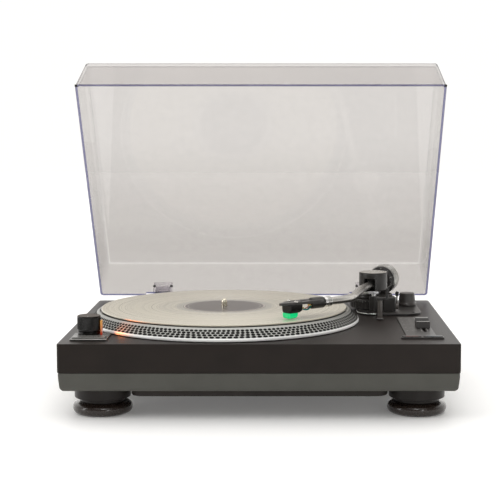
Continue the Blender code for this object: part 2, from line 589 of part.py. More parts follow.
def make_arm_tower(place):
    """A hollow column in the plinth's bore whose top carries the lift cylinder and the cue lever's housing."""
    low = RING_TOP + 0.4
    shank = [(4.5, -16), (TOWER_SHANK_R, -16), (TOWER_SHANK_R, low), (TOWER_TOP_R, low),
             (TOWER_TOP_R, TOWER_TOP),
             (4.5, TOWER_TOP)]
    tower = turned("arm_tower", shank, place, BLACK_PAINT, steps=32)
    cue_x, cue_y = CUE_X - PIVOT_X, CUE_BEHIND - PIVOT_BEHIND
    side = LEVER_X - 2.2 - PIVOT_X
    combine(
        tower, "UNION",
        block("tower_bridge", (cue_x - 4, cue_y - 4, low + 0.5), (side - 2, -12, TOWER_TOP - 0.5), place,
              None),
        hole("lift_cylinder", CUE_R, RING_LOW, CUE_TOP, at(CUE_X, CUE_BEHIND, 0)),
        block("lever_housing", (side - 15.8, cue_y - 6.4, RING_LOW), (side, cue_y + 5.2, TOWER_TOP), place,
              None),
    )
    combine(tower, "DIFFERENCE",
            hole("cut_lever", 2.1, -8, 9, at(LEVER_X - 2.2, LEVER_BEHIND, LEVER_ABOVE), steps=16, axis="X"),
            hole("cut_lift", 3.3, 0, 30, at(CUE_X, CUE_BEHIND, 0), steps=16))


def make_cue_lift():
    """The curved platform that lifts the arm, and the lever that works it."""
    span, steps = (-7.0, 48.0), 12
    inner, outer = [], []
    for step in range(steps + 1):
        turn = radians(span[0] + (span[1] - span[0]) * step / steps)
        inner.append((-LIFT_R_IN * sin(turn), -LIFT_R_IN * cos(turn)))
        outer.append((-LIFT_R_OUT * sin(turn), -LIFT_R_OUT * cos(turn)))
    place = at(PIVOT_X, PIVOT_BEHIND, 0)
    platform = plate("cue_platform", inner + outer[::-1], LIFT_LOW, LIFT_TOP, place, STEEL)
    combine(platform, "UNION", hole("lift_rod", 2.9, 4, LIFT_LOW + 1, at(CUE_X, CUE_BEHIND, 0), steps=20))
    place = at(LEVER_X, LEVER_BEHIND, LEVER_ABOVE)
    lever = turned("cue_lever", [(0, -7), (1.7, -7), (1.7, -2.2 + GAP), (4.2, -2.2 + GAP), (4.2, 1.8),
                                 (0, 1.8)],
                   place, STEEL, steps=16, axis="X")
    combine(lever, "UNION",
            hole("lever_rod", 1.3, 0, 14, place, steps=12),
            turned("lever_tip", [(0, 12.6), (1.9, 12.8), (2.3, 14.0), (2.3, 17.6), (1.6, 18.6), (0, 18.8)],
                   place, None,
                   steps=12))


def make_arm_rest():
    place = at(REST_X, REST_BEHIND, 0)
    foot = [(0, GAP), (4.4, GAP), (4.4, 1.2), (REST_R, 2.2), (REST_R, REST_TOP - 1),
            (0, REST_TOP - 1)]
    post = turned("arm_rest_post", foot, place, BLACK_PLASTIC, steps=16)
    prong = CLIP_X - REST_X
    combine(
        post, "UNION",
        block("rest_saddle", (-4.6, -3.5, REST_TOP - 3), (prong + 1.6, 3.5, REST_TOP), place, None,
              bevel=0.5),
        block("rest_prong", (prong - 1.2, -3.5, REST_TOP - 2), (prong + 1.6, -1.2, CLIP_ABOVE + 1.6),
              place, None),
    )
    combine(post, "DIFFERENCE", hole("cut_clip_pin", 1.1, -9, 9, at(CLIP_X, REST_BEHIND, CLIP_ABOVE),
                                     steps=12,
                                     axis="Y"))
    hinge = pivot("arm_clip_pivot", at(CLIP_X, REST_BEHIND, CLIP_ABOVE), turn=(0, CLIP_OPEN, 0))
    reach, drop = CLIP_X - (REST_X + 0.5), CLIP_ABOVE - ARM_ABOVE
    radius = TUBE_R + 1.0
    inner, outer = [], []
    for step in range(9):
        turn = radians(62 + 15 * step)
        inner.append((-reach + radius * cos(turn), -drop + radius * sin(turn)))
        outer.append((-reach + (radius + 1.5) * cos(turn), -drop + (radius + 1.5) * sin(turn)))
    heel = [(1.9, -1.0), (1.9, 1.9), (-1.0, 3.1)]
    bm = bmesh.new()
    near = bm.faces.new([bm.verts.new((x, -0.8, z)) for x, z in inner[::-1] + heel + outer])
    grown = bmesh.ops.extrude_face_region(bm, geom=[near])["geom"]
    moved = [vert for vert in grown if isinstance(vert, bmesh.types.BMVert)]
    bmesh.ops.translate(bm, vec=(0, 4.0, 0), verts=moved)
    clip = add_object("arm_clip", bm, (0, 0, 0), BLACK_PLASTIC, parent=hinge)
    combine(clip, "UNION", hole("clip_pin", 0.8, -3.4, 1, (0, 0, 0), steps=12, axis="Y", parent=hinge))


# ---------------------------------------------------------------- tonearm


def heading(angle):
    """Forward direction in the arm's frame: straight ahead is -Y and the headshell bends towards -X."""
    return Vector((-sin(radians(angle)), -cos(radians(angle)), 0))


STYLUS = EFFECTIVE_LENGTH * heading(STYLUS_BEARING)
SHELL_ANGLE = STYLUS_BEARING + OFFSET_ANGLE
CONNECTOR = STYLUS - HEADSHELL_LONG * heading(SHELL_ANGLE)


def bend(start, first, last, radius, steps=10):
    """Points of an arc that turns the heading from first to last."""
    side = 1 if last > first else -1
    centre = start + side * radius * heading(first + 90)
    turns = [first + (last - first) * step / steps for step in range(1, steps + 1)]
    return [centre - side * radius * heading(turn + 90) for turn in turns]


def tube_path():
    """The S: straight, a slight bend outwards, straight, the main bend to the headshell's angle, straight."""
    origin = Vector((0, 0, 0))
    outward = bend(origin, 0, -S_BEND, S_RADIUS_REAR)
    inward = bend(origin, -S_BEND, SHELL_ANGLE, S_RADIUS_FRONT)
    left_over = CONNECTOR - outward[-1] - inward[-1] - S_FRONT_STRAIGHT * heading(SHELL_ANGLE)
    middle = left_over.x / heading(-S_BEND).x
    first = -(left_over.y - middle * heading(-S_BEND).y)
    points = [Vector((0, -8.3, 0)), Vector((0, -first, 0))]
    points += [points[1] + step for step in outward]
    points.append(points[-1] + middle * heading(-S_BEND))
    start = points[-1]
    points += [start + step for step in inward]
    points.append(CONNECTOR - 0.4 * heading(SHELL_ANGLE))
    return points


def make_tonearm():
    yaw = pivot("tonearm_yaw", at(PIVOT_X, PIVOT_BEHIND, ARM_ABOVE), turn=(0, 0, ARM_YAW))
    low, top = DRUM_LOW - ARM_ABOVE, DRUM_TOP - ARM_ABOVE
    shaft_low = -8.0 - ARM_ABOVE
    seat = TOWER_TOP + GAP - ARM_ABOVE
    drum = [(0, shaft_low), (4.1, shaft_low), (4.1, seat), (9.5, seat), (9.5, low), (DRUM_R - 1.2, low),
            (DRUM_R, low + 1.2), (DRUM_R, top - 1.4), (DRUM_R - 0.6, top - 0.4), (DRUM_R - 1.6, top),
            (0, top)]
    housing = turned("gimbal_housing", drum, (0, 0, 0), BLACK_PAINT, steps=28, parent=yaw)
    combine(housing, "DIFFERENCE",
            block("cut_window", (-WINDOW_HALF, -30, -WINDOW_HALF), (WINDOW_HALF, 30, WINDOW_HALF + 1.2),
                  (0, 0, 0),
                  None, parent=yaw),
            hole("cut_axle", AXLE_R + GAP, -40, 40, (0, 0, 0), steps=16, axis="X", parent=yaw))
    half = DRUM_R - 0.2
    turned("tilt_axle", [(0, -half), (AXLE_R, -half), (AXLE_R, half), (0, half)], (0, 0, 0), STEEL,
           steps=12,
           axis="X", parent=yaw)
    yoke = block("gimbal_block", (-BLOCK_HALF, -8, -BLOCK_HALF), (BLOCK_HALF, 8, BLOCK_HALF), (0, 0, 0),
                 STEEL,
                 bevel=0.6, parent=yaw)
    stub = [(0, 7), (STUB_R, 7), (STUB_R, STUB_END - 0.6), (STUB_R - 0.6, STUB_END), (0, STUB_END)]
    combine(yoke, "UNION", turned("rear_stub", stub, (0, 0, 0), None, steps=20, axis="Y", parent=yaw))
    combine(yoke, "DIFFERENCE", hole("cut_block", AXLE_R + GAP, -20, 20, (0, 0, 0), steps=16, axis="X",
                                     parent=yaw))
    make_tube(yaw)
    make_balance(yaw)
    shell = pivot("headshell_frame", CONNECTOR * MM, parent=yaw, turn=(0, 0, -SHELL_ANGLE))
    make_headshell(shell)
    make_cartridge(shell)


def make_tube(parent):
    curve = bpy.data.curves.new("tonearm_tube", "CURVE")
    curve.dimensions = "3D"
    points = tube_path()
    spline = curve.splines.new("POLY")
    spline.points.add(len(points) - 1)
    for target, point in zip(spline.points, points):
        target.co = (*(point * MM), 1.0)
    curve.bevel_depth = TUBE_R * MM
    curve.bevel_resolution = 4
    curve.use_fill_caps = True
    curve.materials.append(principled("tonearm_tube", **ALUMINIUM))
    tube = bpy.data.objects.new("tonearm_tube", curve)
    bpy.context.scene.collection.objects.link(tube)
    tube.parent = parent
    return tube


def make_balance(parent):
    """The counterweight and its stylus-force dial on the stub behind the pivot."""
    bore = STUB_R + GAP
    weight = [(bore, WEIGHT_FRONT), (WEIGHT_R - 1.2, WEIGHT_FRONT), (WEIGHT_R, WEIGHT_FRONT + 1.0),
              (WEIGHT_R, WEIGHT_BACK - 1.5), (WEIGHT_R - 1.5, WEIGHT_BACK), (bore, WEIGHT_BACK)]
    turned("counterweight", weight, (0, 0, 0), ALUMINIUM, steps=28, axis="Y", parent=parent)
    dial = [(bore, DIAL_FRONT), (9.0, DIAL_FRONT), (DIAL_R - 4, DIAL_FRONT + 0.4),
            (DIAL_R, DIAL_FRONT + 3.2),
            (DIAL_R, DIAL_BACK), (bore, DIAL_BACK)]
    turned("force_dial", dial, (0, 0, 0), BLACK_PLASTIC, steps=28, axis="Y", parent=parent)


def make_headshell(frame):
    """In this frame the connector is at the origin, the nose points to -Y and the record is below."""
    collar = [(TUBE_R + 0.4, 0.6), (6.1, 0.6), (6.1, 9.5), (5.7, 12.0), (TUBE_R + 0.4, 12.0)]
    turned("headshell_collar", collar, (0, 0, 0), ALUMINIUM, steps=24, axis="Y", parent=frame)
    nose, half = -57.0, 9.4
    outline = [(half - 3, -4), (half, -14), (half, nose + 10), (half - 3.5, nose), (half - 5.5, nose - 9),
               (half - 8.5, nose - 10), (-half + 6, nose), (-half, nose + 8), (-half, -14), (-half + 3, -4)]
    shell = plate("headshell", outline, 1.5, 4.4, (0, 0, 0), BLACK_PLASTIC, edge=0.5, parent=frame)
    combine(shell, "UNION", turned("shell_boss", [(0, -19), (5.9, -19), (6.7, -17.8), (6.7, -0.2), (0, -0.2)],
                                   (0, 0, 0),
                                   None, steps=20, axis="Y", parent=frame))
    cutters = [hole(f"cut_{name}", 1.5, 0, 8, (x * MM, SCREW_Y * MM, 0), steps=12, parent=frame)
               for name, x in screw_places()]
    combine(shell, "DIFFERENCE", *cutters)
    for name, across in screw_places():
        turned(name, [(0, 1.6), (1.1, 1.6), (1.1, 4.7), (2.1, 4.7), (2.1, 5.7), (1.7, 6.1), (0, 6.1)],
               (across * MM, SCREW_Y * MM, 0), STEEL, steps=12, parent=frame)


def screw_places():
    return [("cartridge_screw_left", -6.35), ("cartridge_screw_right", 6.35)]


def make_cartridge(frame):
    """The pick-up body hangs under the shell; the green stylus holder plugs into its nose."""
    top, low = 1.2, -7.8
    sections = [
        (rounded_rect(14.0, 16.0, 1.5, steps=2, centre=(0, -47.8)), low),
        (rounded_rect(15.6, 19.0, 1.5, steps=2, centre=(0, -46.5)), low + 2.5),
        (rounded_rect(16.4, 19.0, 1.5, steps=2, centre=(0, -46.5)), top),
    ]
    loft("cartridge_body", sections, (0, 0, 0), BLACK_PLASTIC, parent=frame)
    floor = low - GAP
    holder = loft("stylus_holder", [
        (rounded_rect(9.0, 9.4, 2.0, steps=3, centre=(0, -50.6)), -14.4),
        (rounded_rect(13.6, 13.8, 2.5, steps=3, centre=(0, -49.8)), -12.4),
        (rounded_rect(14.4, 14.8, 2.5, steps=3, centre=(0, -49.6)), floor),
    ], (0, 0, 0), dict(colour=(0.0, 0.75, 0.25), roughness=0.25), parent=frame)
    tip = RECORD_TOP + 0.35 - ARM_ABOVE
    combine(holder, "UNION", turned("stylus_tip", [(0, tip), (0.25, tip + 0.3), (0.9, -14.0), (0, -14.0)],
                                    (0, -HEADSHELL_LONG * MM, 0), None, steps=12, parent=frame))
    steps, half, thick = 8, 2.6, 0.45
    upper, under = [], []
    for step in range(steps + 1):
        along = step / steps
        y = -19.4 + (-36.6 + 19.4) * along
        z = -1.5 - 3.0 * along - 4.0 * sin(pi * along)
        upper.append((y, z + thick))
        under.append((y, z - thick))
    bm = bmesh.new()
    near = bm.faces.new([bm.verts.new((-half, y, z)) for y, z in upper + under[::-1]])
    grown = bmesh.ops.extrude_face_region(bm, geom=[near])["geom"]
    moved = [vert for vert in grown if isinstance(vert, bmesh.types.BMVert)]
    bmesh.ops.translate(bm, vec=(2 * half, 0, 0), verts=moved)
    add_object("headshell_leads", bm, (0, 0, 0), dict(colour=(0.6, 0.1, 0.08), roughness=0.5), parent=frame)


# ---------------------------------------------------------------- dust cover


def make_dust_cover():
    """Built closed in the hinge's frame, where Y is behind and Z above the hinge axis."""
    hinge = pivot("lid_hinge", at(0, HINGE_BEHIND, HINGE_ABOVE), turn=(-LID_OPEN, 0, 0))
    middle = (LID_FRONT + LID_REAR) / 2 - HINGE_BEHIND
    deep = LID_REAR - LID_FRONT
    shift = (LID_TAPER_FRONT - LID_TAPER_REAR) / 2

    def outline(taper, inset, radius):
        wide = LID_WIDE - 2 * (LID_TAPER_SIDE * taper + inset)
        long = deep - (LID_TAPER_FRONT + LID_TAPER_REAR) * taper - 2 * inset
        return rounded_rect(wide, long, radius, centre=(0, middle + shift * taper))

    rim = LID_RIM - HINGE_ABOVE
    top = rim + LID_HIGH
    cover = loft("dust_cover", [
        (outline(1.0, 0.8, 3.0), top),
        (outline(1.0, 0.0, 3.5), top - 0.8),
        (outline(0.0, 0.0, 3.5), rim),
        (outline(0.0, WALL, 1.5), rim),
        (outline(0.95, WALL, 1.5), top - WALL),
    ], (0, 0, 0), CLEAR, parent=hinge)
    sides = (("left", -HINGE_X), ("right", HINGE_X))
    for side, across in sides:
        place = (across * MM, 0, 0)
        front = LID_REAR - HINGE_BEHIND - 3.4
        socket = block(f"socket_{side}", (-SOCKET_HALF, front, SOCKET_LOW),
                       (SOCKET_HALF, SOCKET_REAR - HINGE_BEHIND,
                       SOCKET_HIGH), place, None, parent=hinge)
        combine(cover, "UNION", socket)
    for side, across in sides:
        place = (across * MM, 0, 0)
        front = TONGUE_FRONT - HINGE_BEHIND
        pocket = block(f"pocket_{side}", (-BARREL_HALF - GAP, front - GAP, 0), (BARREL_HALF + GAP,
                       front + TONGUE_THICK + GAP, TONGUE_TOP + 0.6), place, None, parent=hinge)
        notch = block(f"notch_{side}", (-22, -16, -4), (22, -4, 3.6), place, None, parent=hinge)
        combine(cover, "DIFFERENCE", pocket, notch)
        make_hinge(side, across, hinge)


def make_hinge(side, across, hinge):
    """A tongue with a barrel that turns on its own pins between the ears of a bracket on the plinth's back."""
    place = (across * MM, 0, 0)
    front = TONGUE_FRONT - HINGE_BEHIND
    ear = 3.2
    reach = BARREL_HALF + GAP + ear
    tongue = turned(f"hinge_tongue_{side}",
                    [(0, -reach), (PIN_R, -reach), (PIN_R, -BARREL_HALF), (BARREL_R, -BARREL_HALF),
                                             (BARREL_R, BARREL_HALF), (PIN_R, BARREL_HALF), (PIN_R, reach),
                                             (0, reach)],
                    place, BLACK_PAINT, steps=16, axis="X", parent=hinge)
    combine(tongue, "UNION",
            block(f"tongue_{side}", (-BARREL_HALF, front, 0), (BARREL_HALF, front + TONGUE_THICK,
                                   TONGUE_TOP), place, None, parent=hinge))
    axis = at(across, HINGE_BEHIND, HINGE_ABOVE)
    back = DEPTH + GAP - HINGE_BEHIND
    bracket = block(f"hinge_bracket_{side}", (-reach, back, -32), (reach, back + 3, -6), axis, BLACK_PAINT)
    ears = []
    for name, low in (("inner", -reach), ("outer", reach - ear)):
        ears.append(hole(f"ear_{side}_{name}", BARREL_R + 0.2, low, low + ear, axis, steps=16, axis="X"))
        ears.append(block(f"web_{side}_{name}", (low, back, -12), (low + ear, BARREL_R, 0), axis, None))
    combine(bracket, "UNION", *ears)
    combine(bracket, "DIFFERENCE", hole(f"cut_pin_{side}", PIN_R + GAP, -20, 20, axis, steps=12, axis="X"))


def main():
    for old in list(bpy.data.objects):
        bpy.data.objects.remove(old)
    make_top_cover()
    make_lower_case()
    make_base_plate()
    make_feet()
    make_platter()
    make_motor()
    make_rear_ports()
    make_inside()
    make_left_controls()
    make_right_controls()
    make_arm_base()
    make_cue_lift()
    make_arm_rest()
    make_tonearm()
    make_dust_cover()


main()
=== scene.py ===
"""Looks of the record player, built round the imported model.

Lengths are in millimetres until piece() or piece_of_curve() turns them into metres. at() gives a place from
three measures: across (X from the middle of the plinth), behind (from its front face) and above (the deck).
"""
import json
from math import cos, pi, radians, sin

import bmesh
import bpy
from mathutils import Matrix, Vector


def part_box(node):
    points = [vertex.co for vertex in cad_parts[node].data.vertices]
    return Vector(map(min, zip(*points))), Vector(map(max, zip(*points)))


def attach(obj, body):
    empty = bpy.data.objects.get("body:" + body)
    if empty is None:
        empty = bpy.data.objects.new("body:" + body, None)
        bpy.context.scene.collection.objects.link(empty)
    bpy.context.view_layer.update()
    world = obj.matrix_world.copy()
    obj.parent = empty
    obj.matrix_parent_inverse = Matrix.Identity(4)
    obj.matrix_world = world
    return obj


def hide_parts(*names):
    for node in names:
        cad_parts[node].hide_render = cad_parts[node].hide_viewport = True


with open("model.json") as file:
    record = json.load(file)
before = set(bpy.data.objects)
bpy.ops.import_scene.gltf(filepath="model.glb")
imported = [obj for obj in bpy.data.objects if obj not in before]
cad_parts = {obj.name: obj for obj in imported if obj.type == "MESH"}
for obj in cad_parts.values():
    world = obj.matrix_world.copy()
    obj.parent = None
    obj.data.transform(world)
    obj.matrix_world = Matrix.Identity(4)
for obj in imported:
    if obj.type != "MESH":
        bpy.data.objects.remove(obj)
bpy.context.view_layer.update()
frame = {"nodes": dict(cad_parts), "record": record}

MM = 0.001
FRONT_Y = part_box("top_cover")[0].y
DECK_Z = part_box("top_cover")[1].z
BODIES = frame["record"]["behaviour"]["bodies"]
SCENE = bpy.context.scene


def at(across, behind, above):
    """A place in metres."""
    return Vector((across * MM, FRONT_Y + behind * MM, DECK_Z + above * MM))


# ---------- camera, light and floor

CAMERA_PLACE = (29.75, -1469, 256)
CAMERA_TILT = 5.87           # degrees below level
FOCAL = 96.6
SIDE_SHIFT = -0.0713
FLOOR_HALF = 6             # metres
CAMERA_WHITE = 1.04          # strength of the world where the camera sees it


def linked(name, data):
    """A new object in the scene."""
    made = bpy.data.objects.new(name, data)
    SCENE.collection.objects.link(made)
    return made


def mesh_of(name, bm):
    """A mesh from a bmesh, which is freed."""
    mesh = bpy.data.meshes.new(name)
    bm.to_mesh(mesh)
    bm.free()
    return mesh


def make_camera():
    lens = bpy.data.cameras.new("camera")
    lens.lens = FOCAL
    lens.sensor_width = 36
    lens.shift_x = SIDE_SHIFT
    lens.clip_end = 50
    camera = linked("camera", lens)
    camera.location = at(*CAMERA_PLACE)
    camera.rotation_euler = (radians(90 - CAMERA_TILT), 0, 0)
    SCENE.camera = camera


def make_world():
    """White to the camera; reflections meet a bright back wall, a bright ceiling and a dim front."""
    SCENE.world = world = bpy.data.worlds.new("studio")
    world.use_nodes = True
    world.node_tree.nodes.clear()
    nodes = Nodes(world.node_tree)
    direction = nodes.node("TexCoord").outputs["Generated"]
    depth = nodes.between(nodes.part(direction, "Y"), 0.18, 1.25, -0.5, 0.7, "SMOOTHSTEP")
    seen = nodes.node("LightPath").outputs["Is Camera Ray"]
    strength = nodes.node("Mix", Factor=seen, A=depth, B=CAMERA_WHITE).outputs["Result"]
    light = nodes.node("Background", Color=(1, 0.985, 0.96, 1), Strength=strength)
    nodes.link(light.outputs[0], nodes.node("OutputWorld").inputs[0])


def make_light(name, place, aim, size, power, colour=(1, 1, 1)):
    lamp = bpy.data.lights.new(name, "AREA")
    lamp.shape = "RECTANGLE"
    lamp.size, lamp.size_y = size
    lamp.energy = power
    lamp.color = colour
    made = linked(name, lamp)
    made.location = place
    made.rotation_euler = (Vector(aim) - Vector(place)).to_track_quat("-Z", "Y").to_euler()
    made.visible_camera = False
    return made


def make_floor():
    bm = bmesh.new()
    bmesh.ops.create_grid(bm, x_segments=1, y_segments=1, size=FLOOR_HALF)
    floor = linked("floor", mesh_of("floor", bm))
    look = Look("floor_white", (0.90, 0.895, 0.885), 0.6)
    # painted light: the floor glows, dimly near the object and brighter out to 2.5 m, so the shade under
    # the object stays dark
    look.fill(Emission_Color=(1, 0.99, 0.98, 1),
              Emission_Strength=look.between(look.radius(), 0.12, 0.41, 0.25, 2.5))
    floor.data.materials.append(look.made)


# ---------- materials

LOOKS = {}
ACRYLIC_IOR = 1.49


def shade(colour, amount):
    return tuple(channel * amount for channel in colour)


class Nodes:
    """A shader tree, with short ways to add to it."""

    def __init__(self, tree):
        self.tree = tree

    def node(self, kind, settings=None, **inputs):
        made = self.tree.nodes.new("ShaderNode" + kind)
        for setting, value in (settings or {}).items():
            setattr(made, setting, value)
        self.set(made, inputs)
        return made

    def set(self, node, inputs):
        """Gives a node's inputs, named with underscores for spaces, a value or a link."""
        for name, value in inputs.items():
            self.give(node.inputs[name.replace("_", " ")], value)

    def give(self, socket, value):
        if isinstance(value, bpy.types.NodeSocket):
            self.link(value, socket)
        else:
            socket.default_value = value

    def link(self, source, target):
        self.tree.links.new(source, target)

    def part(self, vector, axis):
        return self.node("SeparateXYZ", Vector=vector).outputs[axis]

    def between(self, factor, low, high, start=0.3, stop=0.7, ease="LINEAR"):
        return self.node("MapRange", {"interpolation_type": ease}, Value=factor, From_Min=start,
                         From_Max=stop, To_Min=low, To_Max=high).outputs["Result"]


class Look(Nodes):
    """A Principled material in LOOKS; its methods add procedural detail in the piece's own coordinates."""

    def __init__(self, name, colour, roughness, specular=0.5, **sockets):
        LOOKS[name] = self.made = bpy.data.materials.new(name)
        self.made.use_nodes = True
        self.made.diffuse_color = (*colour, 1)
        super().__init__(self.made.node_tree)
        self.shader = self.tree.nodes["Principled BSDF"]
        self.fill(Base_Color=(*colour, 1), Roughness=roughness, Specular_IOR_Level=specular, **sockets)

    def fill(self, **sockets):
        self.set(self.shader, sockets)

    def coordinates(self, scale=(1, 1, 1)):
        return self.node("Mapping", Vector=self.node("TexCoord").outputs["Object"], Scale=scale).outputs[0]

    def maths(self, operation, first, second=0):
        made = self.node("Math", {"operation": operation})
        self.give(made.inputs[0], first)
        self.give(made.inputs[1], second)
        return made.outputs[0]

    def radius(self):
        """Distance from the piece's own Z axis."""
        flat = self.coordinates((1, 1, 0))
        return self.node("VectorMath", {"operation": "LENGTH"}, Vector=flat).outputs["Value"]

    def noise(self, scale, detail=3, stretch=(1, 1, 1), vector=None):
        vector = vector or self.coordinates(stretch)
        return self.node("TexNoise", Vector=vector, Scale=scale, Detail=detail).outputs["Fac"]

    def turned_lines(self, scale, detail=2):
        """Noise that changes only with radius and height, as a lathe leaves."""
        upright = self.part(self.coordinates(), "Z")
        joined = self.node("CombineXYZ", X=self.radius(), Y=upright).outputs[0]
        return self.noise(scale, detail, vector=joined)

    def tones(self, factor, colour, dark, light):
        """A ramp between two shades of a colour."""
        ramp = self.node("ValToRGB", Fac=factor)
        for element, position, amount in zip(ramp.color_ramp.elements, (0.3, 0.7), (dark, light)):
            element.position = position
            element.color = (*shade(colour, amount), 1)
        return ramp.outputs["Color"]

    def mixed(self, factor, first, second):
        made = self.node("Mix", {"data_type": "RGBA"})
        self.give(made.inputs[0], factor)
        for socket, value in zip((made.inputs[6], made.inputs[7]), (first, second)):
            self.give(socket, value if isinstance(value, bpy.types.NodeSocket) else (*value, 1))
        return made.outputs[2]

    def bump(self, factor, depth):
        made = self.node("Bump", Height=factor, Distance=depth, Strength=1)
        self.fill(Normal=made.outputs[0])

    def along_turns(self, amount):
        """Stretches highlights across the lathe's lines."""
        tangent = self.node("Tangent", {"direction_type": "RADIAL", "axis": "Z"})
        self.fill(Anisotropic=amount, Tangent=tangent.outputs[0])


def moulded(name, colour, roughness, grain=900, depth=1e-5, spread=0.14, patch=28, **sockets):
    """Plastic, rubber or paint: slow colour patches, fine grain in roughness and bump, and sparse dust."""
    look = Look(name, colour, roughness, **sockets)
    patches = look.tones(look.noise(patch), colour, 1 - spread, 1 + spread)
    fine = look.noise(grain, 2)
    dust = look.between(look.noise(2600, 1), 0, 0.12, 0.70, 0.82)
    look.fill(Base_Color=look.mixed(dust, patches, shade(colour, 2.2)),
              Roughness=look.between(fine, roughness - 0.06, roughness + 0.06))
    look.bump(fine, depth)


def machined(name, colour, roughness, lines=900, spread=0.10, turned=True, stretch=(1, 40, 40),
             anisotropy=0.5, depth=6e-6, metal=1):
    """Bare metal with lathe rings round its own Z axis, or with straight brushing along X; also the
    platter's painted rim highlight and painted shade band.
    """
    look = Look(name, colour, roughness, Metallic=metal)
    marks = look.turned_lines(lines) if turned else look.noise(lines / 12, 3, stretch)
    stains = look.between(look.noise(18), 0, 0.25)
    look.fill(Base_Color=look.mixed(stains, look.tones(marks, colour, 1 - spread, 1 + spread),
                                    shade(colour, 0.85)),
              Roughness=look.between(marks, roughness - 0.07, roughness + 0.09))
    look.bump(marks, depth)
    if turned:
        look.along_turns(anisotropy)


def vinyl():
    """Grooved disc: fine rings, wider bands between tracks, and a smooth run-out next to the label."""
    colour = (0.57, 0.53, 0.425)
    look = Look("vinyl", colour, 0.24, 0.7, Coat_Weight=0.35, Coat_Roughness=0.12)
    grooves = look.turned_lines(2600, 4)
    bands = look.turned_lines(95, 1)
    playing = look.between(look.radius(), 0, 1, 0.0590, 0.0600)
    look.fill(Base_Color=look.mixed(playing, shade((0.50, 0.48, 0.41), 0.82),
                                    look.tones(bands, colour, 0.95, 1.06)),
              Roughness=look.maths("MULTIPLY", look.between(grooves, 0.20, 0.36),
                                   look.between(bands, 0.8, 1.2)))
    look.bump(look.maths("MULTIPLY", grooves, playing), 2.2e-5)
    look.along_turns(0.75)


def paper():
    """Label paper with one printed ring."""
    colour = (0.105, 0.090, 0.084)
    look = Look("paper", colour, 0.32, 0.18, Coat_Weight=0.22, Coat_Roughness=0.03)
    fibres = look.noise(420, 5)
    off_ring = look.maths("ABSOLUTE", look.maths("SUBTRACT", look.radius(), 0.0445))
    look.fill(Base_Color=look.mixed(look.between(off_ring, 1, 0, 0.0004, 0.0006),
                                    look.tones(fibres, colour, 0.90, 1.12), (0.34, 0.31, 0.30)))
    look.bump(fibres, 4e-6)


def felt():
    colour = (0.018, 0.017, 0.016)
    look = Look("felt", colour, 0.95, 0.2, Sheen_Weight=0.25, Sheen_Roughness=0.6)
    fibres = look.noise(1800, 5)
    look.fill(Base_Color=look.tones(fibres, colour, 0.6, 1.8))
    look.bump(fibres, 1.5e-4)


def acrylic(name, tint, hinge_shade_tint=None, wall_shade_tint=None, haze=0.02, gloss=0.012):
    """Clear sheet: what is behind shows through the tint, and the surface mirrors more at low angles.

    The hinge shade tint darkens the sheet towards the hinge and the wall shade tint darkens the wall
    farthest from it: painted shade.
    """
    look = Look(name, tint, 0.1)
    along = look.part(look.coordinates(), "Y")
    hinge_end = look.between(along, 0, 1, -0.25, -0.03, "SMOOTHSTEP")
    wall = look.between(along, 1, 0, -0.3435, -0.3425)
    toned = look.mixed(wall, look.mixed(hinge_end, tint, hinge_shade_tint or tint), wall_shade_tint or tint)
    through = look.node("BsdfTransparent", Color=toned)
    scratches = look.noise(55, 6, (1, 14, 1))
    mirror = look.node("BsdfGlossy", Roughness=look.between(scratches, gloss, gloss * 3))
    inside = look.node("NewGeometry").outputs["Backfacing"]
    angle = look.node("Fresnel", IOR=look.between(inside, ACRYLIC_IOR, 1 / ACRYLIC_IOR, 0, 1))
    dust = look.node("BsdfDiffuse", Color=(0.75, 0.74, 0.73, 1))

    def blend(share, first, second):
        made = look.node("MixShader")
        look.link(share, made.inputs[0])
        look.link(first.outputs[0], made.inputs[1])
        look.link(second.outputs[0], made.inputs[2])
        return made

    clear = blend(angle.outputs[0], through, mirror)
    sheet = blend(look.between(look.noise(90, 4), haze * 0.5, haze * 1.5), clear, dust)
    look.tree.nodes.remove(look.shader)
    look.link(sheet.outputs[0], look.tree.nodes["Material Output"].inputs["Surface"])


def lit(name, colour, strength, roughness=0.25):
    """Coloured plastic that glows: the key lights have a lamp behind them, and the green stylus holder's
    glow is painted light.
    """
    look = Look(name, colour, roughness, Coat_Weight=0.4)
    look.fill(Base_Color=look.tones(look.noise(240, 2), colour, 0.8, 1.15),
              Emission_Color=(*colour, 1), Emission_Strength=strength)
    look.bump(look.noise(1500, 2), 2e-5)


def strobe_amber():
    """Amber window: yellow at the top, red at the foot, lit from inside."""
    look = Look("orange", (0.7, 0.2, 0.03), 0.22, Coat_Weight=0.5)
    up = look.between(look.part(look.coordinates(), "Z"), 0, 1, 0.004, 0.017)
    streaks = look.noise(900)
    glow = look.mixed(up, (0.50, 0.035, 0.01), (0.75, 0.36, 0.06))
    toned = look.mixed(look.between(streaks, 0, 0.3), glow, (0.25, 0.03, 0.01))
    look.fill(Base_Color=toned, Emission_Color=toned, Emission_Strength=0.42)
    look.bump(streaks, 2e-5)


def circuit_board():
    look = Look("board", (0.02, 0.12, 0.05), 0.4)
    tracks = look.node("TexBrick", Vector=look.coordinates((160, 160, 160)), Scale=1, Mortar_Size=0.06,
                       Color1=(0.015, 0.10, 0.04, 1), Color2=(0.02, 0.14, 0.06, 1),
                       Mortar=(0.10, 0.28, 0.12, 1))
    look.fill(Base_Color=tracks.outputs["Color"])
    look.bump(tracks.outputs["Fac"], 4e-5)


